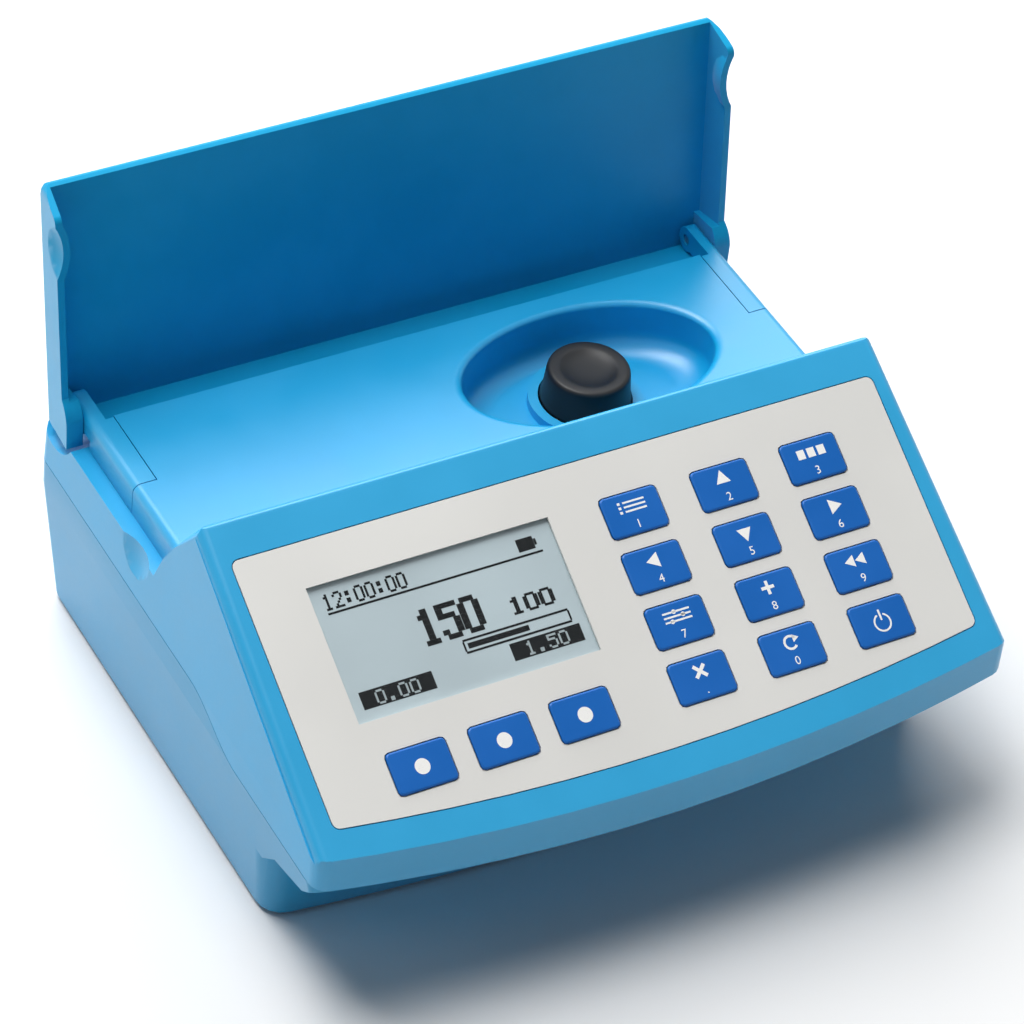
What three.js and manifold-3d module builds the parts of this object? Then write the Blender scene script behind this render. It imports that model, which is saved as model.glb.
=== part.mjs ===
// A benchtop photometer with a hinged lid over its sample well.
// Millimetres. X runs across the front, Y towards the back and Z up.
// Inside this file the ridge above the control panel is at y = 0 and the bottom of the case at z = 0.
// The finished group is shifted so that its origin is the middle of its footprint, on the table.

import * as THREE from "three";
import { mergeVertices } from "three/addons/utils/BufferGeometryUtils.js";
import Module from "manifold-3d";

const wasm = await Module();
wasm.setup();

// Case, as a whole
const caseWidth = 206;
const ridgeInset = 4.6;
const baseInset = 7.2;
const frontBow = 7.2;
const wall = 2.5;
const rearCornerRadius = 5.2;
const frontCornerRadius = 4.5;
const clearance = 0.3;
const overrun = 12;

// Sloping control panel and the ramp behind its ridge
const ridgeHeight = 95.4;
const panelLength = 99.7;
const panelSlope = THREE.MathUtils.degToRad(29.3);
const panelWall = 5;
const panelEdgeRadius = 3;
const ridgeRadius = 1.6;
const ridgeCornerRadius = 3.2;

// Deck, and the ledges beside it that the lid closes over
const deckDrop = 22.6;
const ledgeWidth = 5.5;
const deckEdgeRadius = 2.4;
const rampFoot = 14.7;
const ledgeDrop = 9.8;
const ledgeFront = 19;

// Parting line between the two shells, measured from the height of the panel's front edge
const rearPartingRise = 1.8;
const sidePartingDrop = 6.6;
const frontPartingDrop = 11.8;
const partingBendBack = 45.5;
const partingBendInset = 17.5;

// Base of the case, and the chin under the panel, with drops from the panel's front edge
const chinOverhang = 26.6;
const chinSetback = 1.6;
const baseCornerRadius = 7.5;
const chinRootDrop = 22.1;
const chinKneeDrop = 13.5;
const chinLipDrop = 8.4;
const chinSagShares = { start: 0.72, run: 0.24 };
const chinKneeShare = 0.92;
const socketSkinShare = 0.125;

// Hinge
const pinBehindRidge = 81.5;
const pinDrop = 3.8;
const pinToRear = 8.5;
const pinRadius = 1.3;
const pinLength = 7.1;
const troughRadius = 12;
const bracketWidth = 6.7;
const bracketFront = 42.9;
const bracketEarWidth = 4.4;
const bracketEarRadius = 3.8;
const bracketArmDown = 2.6;
const bracketSideWall = 2.2;

// Lid
const lidTopInset = 3.3;
const lidEdgeInset = 1.2;
const lidReach = 68;
const lidSideReach = 62;
const lidRear = 7.2;
const lidAbovePin = 6.6;
const lidBelowPin = 5;
const lidPanel = 2.5;
const lidSideWall = 2;
const lidRearWall = 3;
const lidEarRadius = 8.3;
const lidEarInner = 5.8;
const lidCornerRadius = 4;
const lidSideCornerRadius = 2.4;
const lidEarTipBack = 7.8;
const lidEarTipDown = 7.4;
const lidEdgeRadius = 1;
const lidNotchDown = 3;
const lidLean = THREE.MathUtils.degToRad(7.9);

// Finger dents in the lid and in the case under it
const dentRadius = 17;
const dentDepth = 2;
const dentBehindRidge = 29.5;

// Sample well, its collar and the bore for the cuvette
const wellX = 38.8;
const wellBehindRidge = 40.9;
const wellHalfWidth = 37.8;
const wellHalfLength = 22.4;
const wellDepth = 15;
const wellFloorRadius = 6;
const wellRimRadius = 1.6;
const collarWidth = 2.8;
const collarHeight = 2.7;
const boreClearance = 0.9;

// Cuvette and cap
const cuvetteRadius = 12.3;
const cuvetteWall = 1.1;
const cuvetteBase = 2;
const cuvetteFoot = 6.4;
const shoulderDrop = 13;
const neckRadius = 9.8;
const neckDrop = 4.5;
const capSink = 1.8;
const capHeight = 10;
const capTopRadius = 10.9;
const capSkirtRadius = 12.7;
const capRim = 0.8;
const capDish = 0.6;

// Overlay, window and keys
const overlayMargin = 7.55;
const overlayTop = 11.1;
const overlaySideInset = 15.2;
const overlayMiddleInset = 8.5;
const overlayCornerRadius = 2;
const overlayThickness = 0.7;
const windowInset = 16.4;
const windowToMiddle = 9.03;
const windowTop = 23.2;
const windowToSoftKeys = 15.1;
const windowThickness = 0.8;
const windowSink = 0.15;
const keyShares = { across: 0.6193, down: 0.7342 };
const keyCornerRadius = 1.2;
const keyRise = 0.5;
const keyThickness = 1.3;
const keyBevel = 0.35;
const keypadToMiddle = 14.5;
const keypadInset = 26.05;
const keypadTop = 28.7;
const keypadBottomInset = 23.6;
const keyColumns = 3;
const keyRows = 4;
const softKeyInset = 28.05;
const softKeyToMiddle = 20.4;
const softKeyBottomInset = 23.7;
const softKeys = 3;
const sheetMargin = 1.5;
const sheetThickness = 0.4;
const sheetPocketDepth = 2.2;

// Display module and main board, both hung under the panel
const displayFrame = 2;
const displayPlateBorder = 5;
const displayPlateThickness = 1.8;
const boardThickness = 1.6;
const boardInset = 17.45;
const boardTop = 10;
const boardBottomInset = 12.7;
const boardSink = 7.4;
const boardPostInset = 6;
const boardPostTop = 14;
const boardPostBottomInset = 16.7;
const boardPostRadius = 3;
const smallScrewRadius = 1;
const smallScrewHeadRadius = 2.2;
const smallScrewHead = 1.3;
const smallScrewGrip = 3.2;

// Case screws, columns and feet
const screwInset = 12;
const frontScrewInset = 17.5;
const rearScrewInset = 32;
const columnRadius = 5;
const bossRadius = 4.5;
const screwRadius = 1.5;
const screwHeadRadius = 3.1;
const screwHead = 2.4;
const screwSeat = 8;
const screwGrip = 10;
const columnDrop = 1.8;
const footRadius = 7;
const footInset = 19.4;
const frontFootInset = 19.5;
const rearFootInset = 20;
const footHeight = 2.1;
const footSink = 0.8;

// Optical block with its light and detector boards
const blockSize = 46;
const blockCornerRadius = 4;
const beamHeight = 24;
const beamRadius = 3;
const opticThickness = 1.6;
const opticDepth = 3;
const opticBoardWidth = 26;
const opticBoardHeight = 22;
const lampRadius = 2.4;
const lampLength = 3;

// Battery and its strap
const batteryInset = 27.4;
const batteryFront = 18;
const batteryWidth = 62;
const batteryLength = 36;
const batteryHeight = 14;
const batteryCornerRadius = 3;
const strapWidth = 12;
const strapThickness = 1.2;
const strapFoot = 7;

// Socket board at the back
const socketBoardInset = 25.4;
const socketBoardWidth = 78;
const socketBoardFront = 66;
const socketBoardRear = 85;
const socketBoardHeight = 17;
const socketPostRadius = 3;
const socketFront = 72;
const socketFaceSink = 0.5;
const usbAlong = 18;
const usbWidth = 13.2;
const usbHeight = 5.7;
const powerAlong = 40;
const powerWidth = 7.6;
const powerHeight = 2.8;
const probeAlong = 62;
const probeBody = 8;
const probeNoseRadius = 2.9;
const probeHoleRadius = 1.75;

// How finely round things are faceted
const filletSteps = 4;
const arcSteps = 12;
const smallRound = 12;
const mediumRound = 24;
const largeRound = 48;

// Places worked out from the sizes above
const halfWidth = caseWidth / 2;
const ridgeWidth = caseWidth - ridgeInset;
const baseWidth = caseWidth - baseInset;
const lidTopWidth = caseWidth - lidTopInset;
const lidEdgeWidth = caseWidth - lidEdgeInset;
const deckHalf = halfWidth - ledgeWidth;
const caseRear = pinBehindRidge + pinToRear;
const panelEdgeHeight = ridgeHeight - panelLength * Math.sin(panelSlope);
const rearParting = panelEdgeHeight + rearPartingRise;
const sideParting = panelEdgeHeight - sidePartingDrop;
const frontParting = panelEdgeHeight - frontPartingDrop;
const chinRootHeight = panelEdgeHeight - chinRootDrop;
const chinKneeHeight = panelEdgeHeight - chinKneeDrop;
const chinLipHeight = panelEdgeHeight - chinLipDrop;
const deckHeight = ridgeHeight - deckDrop;
const ledgeHeight = deckHeight - ledgeDrop;
const pinHeight = deckHeight - pinDrop;
const capTop = deckHeight - capSink;
const neckTop = capTop - neckDrop;
const cuvetteShoulder = capTop - shoulderDrop;
const overlayHalf = halfWidth - overlayMargin;
const windowLeft = windowInset - overlayHalf;
const windowRight = -windowToMiddle;
const overlaySideBottom = panelLength - overlaySideInset;
const overlayMiddleBottom = panelLength - overlayMiddleInset;
const softKeyDown = panelLength - softKeyBottomInset;
const windowBottom = softKeyDown - windowToSoftKeys;
const keyPitchAcross = (overlayHalf - keypadInset - keypadToMiddle) / (keyColumns - 1);
const keyPitchDown = (panelLength - keypadBottomInset - keypadTop) / (keyRows - 1);
const keyWidth = keyPitchAcross * keyShares.across;
const keyHeight = keyPitchDown * keyShares.down;
const softKeyLeft = softKeyInset - overlayHalf;
const softKeyPitch = (-softKeyToMiddle - softKeyLeft) / (softKeys - 1);
const boardHalf = overlayHalf - boardInset;
const boardBottom = panelLength - boardBottomInset;
const boardPostBottom = panelLength - boardPostBottomInset;
const boardPostX = boardHalf - boardPostInset;
const screwX = halfWidth - screwInset;
const footX = baseWidth / 2 - footInset;
const batteryLeft = batteryInset - baseWidth / 2;
const socketBoardLeft = socketBoardInset - baseWidth / 2;
const socketBoardRight = socketBoardLeft + socketBoardWidth;
const usbX = socketBoardLeft + usbAlong;
const powerX = socketBoardLeft + powerAlong;
const probeX = socketBoardLeft + probeAlong;
const columnTop = frontParting - columnDrop;
const panelFrontMiddle = -panelLength * Math.cos(panelSlope);
const panelFrontCorner = panelFrontMiddle + frontBow;
const chinReach = -panelFrontCorner - chinSetback;
const baseFront = chinOverhang - chinReach;
const partingBendFront = baseFront + partingBendInset;
const partingBendRear = baseFront + partingBendBack;
const frontScrewY = baseFront + frontScrewInset;
const frontFootY = baseFront + frontFootInset;
const rearScrewY = caseRear - rearScrewInset;
const rearFootY = caseRear - rearFootInset;
const panelFrame = new THREE.Matrix4().makeRotationX(panelSlope).setPosition(0, 0, ridgeHeight);
const wellFloor = deckHeight - wellDepth;
const blockTop = wellFloor - wall - clearance;
const boreRadius = cuvetteRadius + boreClearance;
const overlayStep = overlayThickness + clearance;
const windowFoot = windowSink + windowThickness;
const sheetTopSink = sheetPocketDepth - clearance - sheetThickness;
const displayTopSink = windowFoot + clearance;
const floorTop = wall;
const cornerSigns = [
  [-1, -1],
  [1, -1],
  [-1, 1],
  [1, 1],
];

// Colours, roughness and metalness, by what the pieces are made of
const finishes = {
  bluePlastic: { color: 0x3fa4d6, roughness: 0.42, metalness: 0 },
  baseBlue: { color: 0x5f9cc4, roughness: 0.5, metalness: 0 },
  bracketBlue: { color: 0x4fb0de, roughness: 0.45, metalness: 0 },
  lidBlue: { color: 0x0a66a4, roughness: 0.35, metalness: 0 },
  overlayGrey: { color: 0xdad9d7, roughness: 0.5, metalness: 0 },
  keyBlue: { color: 0x0c56a8, roughness: 0.4, metalness: 0 },
  clearSheet: { color: 0xb4bec4, roughness: 0.12, metalness: 0 },
  displayGrey: { color: 0x9aa7a4, roughness: 0.3, metalness: 0 },
  sheetWhite: { color: 0xe8e8e4, roughness: 0.6, metalness: 0 },
  boardGreen: { color: 0x1d5c3a, roughness: 0.5, metalness: 0.1 },
  steel: { color: 0xb9bcc0, roughness: 0.3, metalness: 1 },
  blackPlastic: { color: 0x1b1c20, roughness: 0.5, metalness: 0 },
  darkCap: { color: 0x23262d, roughness: 0.45, metalness: 0 },
  glass: { color: 0xdfeaf0, roughness: 0.05, metalness: 0 },
  rubber: { color: 0x2a2a2c, roughness: 0.9, metalness: 0 },
  battery: { color: 0x3a4f9a, roughness: 0.55, metalness: 0 },
};

// Helpers that turn outlines into geometry

const asPoint = ([x, y]) => new THREE.Vector2(x, y);

// An outline from corners [x, y, radius], with each corner that has a radius rounded off.
function outline(corners, steps = filletSteps) {
  const points = corners.flatMap(([x, y, radius = 0], i) => {
    const corner = new THREE.Vector2(x, y);
    if (!radius) {
      return [corner];
    }
    const before = asPoint(corners.at(i - 1)).sub(corner).normalize();
    const after = asPoint(corners[(i + 1) % corners.length]).sub(corner).normalize();
    const half = Math.acos(before.dot(after)) / 2;
    const reach = radius / Math.tan(half);
    const inward = before.clone().add(after).normalize();
    const centre = corner.clone().addScaledVector(inward, radius / Math.sin(half));
    const start = corner.clone().addScaledVector(before, reach).sub(centre);
    const end = corner.clone().addScaledVector(after, reach).sub(centre);
    const sweep = Math.atan2(start.cross(end), start.dot(end));
    const turns = Array.from({ length: steps + 1 }, (_, k) => (sweep * k) / steps);
    return turns.map((turn) => start.clone().rotateAround(new THREE.Vector2(), turn).add(centre));
  });
  return new THREE.Shape(points);
}

function rectangle(left, right, bottom, top, radius = 0, steps = filletSteps) {
  const corners = [
    [left, bottom, radius],
    [right, bottom, radius],
    [right, top, radius],
    [left, top, radius],
  ];
  return outline(corners, steps);
}

// Moves each edge of a counter-clockwise outline inwards by its own distance.
function insetCorners(corners, distances) {
  const edges = corners.map((corner, i) => {
    const start = asPoint(corner);
    const along = asPoint(corners[(i + 1) % corners.length]).sub(start).normalize();
    const inward = new THREE.Vector2(-along.y, along.x);
    return { start: start.addScaledVector(inward, distances[i]), along };
  });
  return edges.map((edge, i) => {
    const before = edges.at(i - 1);
    const gap = edge.start.clone().sub(before.start);
    const travel = gap.cross(edge.along) / before.along.cross(edge.along);
    return before.start.clone().addScaledVector(before.along, travel).toArray();
  });
}

function extruded(shape, depth) {
  return new THREE.ExtrudeGeometry(shape, { depth, bevelEnabled: false });
}

// Prisms: the outline lies across the named axis and the prism runs from one place to another along it.
const acrossX = new THREE.Matrix4().makeBasis(
  new THREE.Vector3(0, 1, 0),
  new THREE.Vector3(0, 0, 1),
  new THREE.Vector3(1, 0, 0),
);
const acrossY = new THREE.Matrix4().makeBasis(
  new THREE.Vector3(1, 0, 0),
  new THREE.Vector3(0, 0, 1),
  new THREE.Vector3(0, -1, 0),
);

function prismX(shape, from, to) {
  return extruded(shape, to - from).translate(0, 0, from).applyMatrix4(acrossX);
}

function prismY(shape, from, to) {
  return extruded(shape, to - from).translate(0, 0, -to).applyMatrix4(acrossY);
}

function prismZ(shape, from, to) {
  return extruded(shape, to - from).translate(0, 0, from);
}

function block([left, right], [front, rear], [bottom, top]) {
  return new THREE.BoxGeometry(right - left, rear - front, top - bottom).translate(
    (left + right) / 2,
    (front + rear) / 2,
    (bottom + top) / 2,
  );
}

function rodX(radius, from, to, y, z, sides = mediumRound) {
  const rod = new THREE.CylinderGeometry(radius, radius, to - from, sides);
  return rod.rotateZ(-Math.PI / 2).translate((from + to) / 2, y, z);
}

function rodY(radius, from, to, x, z, sides = smallRound) {
  return new THREE.CylinderGeometry(radius, radius, to - from, sides).translate(x, (from + to) / 2, z);
}

function rodZ(radius, from, to, x, y, sides = mediumRound) {
  const rod = new THREE.CylinderGeometry(radius, radius, to - from, sides);
  return rod.rotateX(Math.PI / 2).translate(x, y, (from + to) / 2);
}

// A turned solid from [radius, height] points that start and end on its axis.
function turned(points, sides) {
  return new THREE.LatheGeometry(points.map(asPoint), sides).rotateX(Math.PI / 2);
}

// Moves every vertex by a rule.
function shaped(geometry, rule) {
  const positions = geometry.getAttribute("position");
  const point = new THREE.Vector3();
  for (let i = 0; i < positions.count; i += 1) {
    rule(point.fromBufferAttribute(positions, i));
    positions.setXYZ(i, point.x, point.y, point.z);
  }
  return geometry;
}

function enclosedVolume(positions, index) {
  const corners = [new THREE.Vector3(), new THREE.Vector3(), new THREE.Vector3()];
  let sum = 0;
  for (let i = 0; i < index.length; i += 3) {
    corners.forEach((corner, k) => corner.fromBufferAttribute(positions, index[i + k]));
    sum += corners[0].dot(corners[1].cross(corners[2]));
  }
  return sum;
}

// Welds a closed geometry into a solid that can be joined and cut.
function solid(geometry) {
  const source = geometry.index ? geometry.toNonIndexed() : geometry.clone();
  source.deleteAttribute("normal");
  source.deleteAttribute("uv");
  const welded = mergeVertices(source);
  const positions = welded.getAttribute("position");
  let triangles = [];
  for (let i = 0; i < welded.index.count; i += 3) {
    const [a, b, c] = [welded.index.getX(i), welded.index.getX(i + 1), welded.index.getX(i + 2)];
    if (a !== b && b !== c && c !== a) {
      triangles.push(a, b, c);
    }
  }
  if (enclosedVolume(positions, triangles) < 0) {
    triangles = triangles.reverse();
  }
  return new wasm.Manifold(
    new wasm.Mesh({
      numProp: 3,
      vertProperties: new Float32Array(positions.array),
      triVerts: new Uint32Array(triangles),
    }),
  );
}

function joined(...parts) {
  return parts.reduce((whole, part) => whole.add(part));
}

function cutBy(body, ...cutters) {
  return cutters.reduce((whole, cutter) => whole.subtract(cutter), body);
}

const solids = (...geometries) => joined(...geometries.map(solid));

// A named mesh in one of the finishes, from a geometry or a solid.
function piece(name, shape, finish) {
  let geometry = shape;
  if (!shape.isBufferGeometry) {
    const { vertProperties, triVerts } = shape.getMesh();
    geometry = new THREE.BufferGeometry();
    geometry.setAttribute("position", new THREE.BufferAttribute(vertProperties, 3));
    geometry.setIndex(new THREE.BufferAttribute(triVerts, 1));
  }
  geometry = geometry.index ? geometry.toNonIndexed() : geometry;
  geometry.computeVertexNormals();
  const mesh = new THREE.Mesh(geometry, new THREE.MeshStandardMaterial(finishes[finish]));
  mesh.name = name;
  return mesh;
}

// The other hand of a solid, mirrored across the middle of the case.
function mirrored(shape) {
  const { vertProperties, triVerts } = shape.getMesh();
  const geometry = new THREE.BufferGeometry();
  geometry.setAttribute("position", new THREE.BufferAttribute(vertProperties, 3));
  geometry.setIndex(new THREE.BufferAttribute(triVerts, 1));
  return solid(shaped(geometry, (point) => point.setX(-point.x)));
}

// Shared forms of the case

// The draft of the moulded sides, as a share of the full width at a height.
function draftAt(z) {
  if (z < sideParting) {
    return THREE.MathUtils.mapLinear(z, 0, sideParting, baseWidth / caseWidth, 1);
  }
  if (z < rearParting) {
    return 1;
  }
  return THREE.MathUtils.mapLinear(z, rearParting, ridgeHeight, 1, ridgeWidth / caseWidth);
}

// How far the front runs ahead of its corners at a place across the case.
function bowAt(x) {
  return frontBow * (1 - (x / halfWidth) ** 2);
}

// The plan of the case: straight sides and back, and a bowed front.
function planOutline(cornerY, inset, cornerRadius) {
  const side = halfWidth - inset;
  const rear = caseRear - inset;
  const front = cornerY + inset;
  const shares = Array.from({ length: arcSteps - 1 }, (_, i) => (2 * (i + 1)) / arcSteps - 1);
  const bowed = shares.map((share) => [share * side, front - bowAt(share * side) + bowAt(side)]);
  return outline([
    [side, rear, rearCornerRadius - inset],
    [-side, rear, rearCornerRadius - inset],
    [-side, front, cornerRadius - inset],
    ...bowed,
    [side, front, cornerRadius - inset],
  ]);
}

// The upper part of the case before its top is shaped: straight up to the rear parting line, drafted above.
function upperBlock(inset) {
  const plan = planOutline(panelFrontCorner, inset, frontCornerRadius);
  const straight = prismZ(plan, frontParting - overrun, rearParting);
  const drafted = prismZ(plan, rearParting, ridgeHeight + overrun);
  shaped(drafted, (point) => point.setX(point.x * draftAt(point.z)));
  return solids(straight, drafted);
}

// The side view of the upper part: deck, ramp, ridge and sloping panel.
const sideCorners = [
  [panelFrontMiddle - overrun, frontParting - overrun],
  [caseRear + overrun, frontParting - overrun],
  [caseRear + overrun, deckHeight],
  [rampFoot, deckHeight],
  [0, ridgeHeight],
  [panelFrontMiddle - overrun, ridgeHeight + (panelFrontMiddle - overrun) * Math.tan(panelSlope)],
];

// The height of the parting line along the side of the case.
function partingPoints() {
  const steps = Array.from({ length: arcSteps + 1 }, (_, i) => i / arcSteps);
  return steps.map((share) => [
    THREE.MathUtils.lerp(partingBendFront, partingBendRear, share),
    THREE.MathUtils.lerp(sideParting, rearParting, (1 - Math.cos(Math.PI * share)) / 2),
  ]);
}

// Everything behind a front limit and below the parting line, with the line moved down by a gap.
function belowParting(front, gap) {
  return prismX(
    outline([
      [front, -overrun],
      [caseRear + overrun, -overrun],
      [caseRear + overrun, rearParting - gap],
      ...partingPoints()
        .reverse()
        .map(([y, z]) => [y, z - gap]),
      [front, sideParting - gap],
    ]),
    -caseWidth,
    caseWidth,
  );
}

// How far the chin hangs down between its corners: fully along its lip, fading out towards its root.
function frontSag({ x, y, z }) {
  const share = z > chinLipHeight ? 1 : (-y / chinReach - chinSagShares.start) / chinSagShares.run;
  const sag = (sideParting - frontParting) * (1 - (x / halfWidth) ** 2);
  return sag * THREE.MathUtils.clamp(share, 0, 1);
}

const archRear = partingBendFront - overrun;

// The arch cut out of the front wall of the upper shell, down to the lip of the chin.
function frontArch() {
  const crest = Array.from({ length: 2 * arcSteps + 1 }, (_, i) => {
    const x = (1 - i / arcSteps) * (halfWidth + overrun);
    return [x, frontParting + (sideParting - frontParting) * (x / halfWidth) ** 2];
  });
  const arch = outline([
    [-halfWidth - overrun, frontParting - 2 * overrun],
    [halfWidth + overrun, frontParting - 2 * overrun],
    ...crest,
  ]);
  return prismY(arch, panelFrontMiddle - overrun, archRear);
}

function dentSphere(radius, openHalf, y, z) {
  const ball = new THREE.SphereGeometry(radius, largeRound, mediumRound);
  return ball.translate(openHalf + dentRadius - dentDepth, y, z);
}

// Keys, as [name, x, distance down the panel]

function keyPlaces() {
  const places = [];
  for (let row = 0; row < keyRows; row += 1) {
    for (let column = 0; column < keyColumns; column += 1) {
      const name = `key_row${row + 1}_${["left", "middle", "right"][column]}`;
      places.push([name, keypadToMiddle + column * keyPitchAcross, keypadTop + row * keyPitchDown]);
    }
  }
  for (let i = 0; i < softKeys; i += 1) {
    places.push([`soft_key_${["left", "middle", "right"][i]}`, softKeyLeft + i * softKeyPitch, softKeyDown]);
  }
  return places;
}

function keyOutline(x, down, grow) {
  return rectangle(
    x - keyWidth / 2 - grow,
    x + keyWidth / 2 + grow,
    -down - keyHeight / 2 - grow,
    -down + keyHeight / 2 + grow,
    keyCornerRadius + grow,
    filletSteps / 2,
  );
}

function overlayOutline(grow) {
  const half = overlayHalf + grow;
  const shares = Array.from({ length: arcSteps - 1 }, (_, i) => (2 * (i + 1)) / arcSteps - 1);
  const bow = overlayMiddleBottom - overlaySideBottom;
  const radius = overlayCornerRadius + grow;
  return outline([
    [half, -overlayTop + grow, radius],
    [-half, -overlayTop + grow, radius],
    [-half, -overlaySideBottom - grow, radius],
    ...shares.map((share) => [share * half, -overlaySideBottom - grow - bow * (1 - share ** 2)]),
    [half, -overlaySideBottom - grow, radius],
  ]);
}

function windowOutline(grow) {
  return rectangle(windowLeft - grow, windowRight + grow, -windowBottom - grow, -windowTop + grow);
}

// The L-shaped sheet under the keys
function sheetOutline(grow) {
  const reachX = keyWidth / 2 + sheetMargin + grow;
  const reachY = keyHeight / 2 + sheetMargin + grow;
  const keypadRight = keypadToMiddle + (keyColumns - 1) * keyPitchAcross;
  const bottom = -keypadTop - (keyRows - 1) * keyPitchDown - reachY;
  return outline([
    [softKeyLeft - reachX, bottom],
    [keypadRight + reachX, bottom],
    [keypadRight + reachX, -keypadTop + reachY],
    [keypadToMiddle - reachX, -keypadTop + reachY],
    [keypadToMiddle - reachX, -softKeyDown + reachY],
    [softKeyLeft - reachX, -softKeyDown + reachY],
  ]);
}

// The upper shell

// What is left over outside a rounded corner whose sharp point is at (x, y).
function cornerWaste(x, y, radius, reach = overrun) {
  return outline([
    [x - radius, y],
    ...Array.from({ length: filletSteps }, (_, i) => {
      const angle = ((i + 1) / filletSteps) * (Math.PI / 2);
      return [x - radius * (1 - Math.sin(angle)), y - radius * (1 - Math.cos(angle))];
    }),
    [x + reach, y - radius],
    [x + reach, y + overrun],
    [x - radius, y + overrun],
  ]);
}

function deckEdge() {
  return solid(prismY(cornerWaste(deckHalf, deckHeight, deckEdgeRadius, clearance), rampFoot, caseRear));
}

function ridgeCorner() {
  return solid(prismY(cornerWaste(ridgeWidth / 2, ridgeHeight, ridgeCornerRadius), -overrun, overrun));
}

function roundedPanelEdge() {
  const cutter = cornerWaste(halfWidth, 0, panelEdgeRadius);
  const edge = prismY(cutter, -panelLength - overrun, overrun);
  shaped(edge, (point) => {
    const height = ridgeHeight + point.y * Math.sin(panelSlope);
    point.setX(point.x + halfWidth * (draftAt(Math.max(height, rearParting)) - 1));
  });
  return solid(edge.applyMatrix4(panelFrame));
}

function ledgeCut(side) {
  return prismX(
    outline([
      [ledgeFront, ledgeHeight],
      [caseRear + overrun, ledgeHeight],
      [caseRear + overrun, ridgeHeight],
      [rampFoot, ridgeHeight],
      [rampFoot, deckHeight],
    ]),
    side > 0 ? deckHalf : -halfWidth - overrun,
    side > 0 ? halfWidth + overrun : -deckHalf,
  );
}

function ledgeWall(side) {
  const inner = deckHalf - wall;
  return block(
    side > 0 ? [inner, halfWidth] : [-halfWidth, -inner],
    [rampFoot - wall, caseRear],
    [ledgeHeight - wall, ridgeHeight],
  );
}

// The oval well, hollow or with a wall round it.
function wellShape(grow, rim) {
  const radius = wellHalfLength + grow;
  const bottom = wellFloor - grow;
  const points = [[0, bottom]];
  for (let i = 0; i <= filletSteps; i += 1) {
    const angle = (i / filletSteps) * (Math.PI / 2);
    points.push([
      radius - wellFloorRadius * (1 - Math.sin(angle)),
      bottom + wellFloorRadius * (1 - Math.cos(angle)),
    ]);
  }
  if (rim) {
    for (let i = 0; i <= filletSteps; i += 1) {
      const angle = (i / filletSteps) * (Math.PI / 2);
      points.push([
        radius + wellRimRadius * (1 - Math.cos(angle)),
        deckHeight - wellRimRadius * (1 - Math.sin(angle)),
      ]);
    }
  }
  const [outerRadius] = points.at(-1);
  points.push([outerRadius, deckHeight + (rim ? overrun : 0)], [0, deckHeight + (rim ? overrun : 0)]);
  const oval = turned(points, largeRound).scale(wellHalfWidth / wellHalfLength, 1, 1);
  return solid(oval.translate(wellX, wellBehindRidge, 0));
}

function bracketNotch() {
  const rear = pinBehindRidge - troughRadius / 2;
  const front = bracketFront - clearance;
  const top = deckHeight + overrun;
  return solids(
    block(
      [deckHalf - bracketWidth - clearance, deckHalf + overrun],
      [front, rear],
      [deckHeight - wall - clearance, top],
    ),
    block([deckHalf - bracketEarWidth - clearance, deckHalf + overrun], [front, rear], [ledgeHeight, top]),
  );
}

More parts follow.
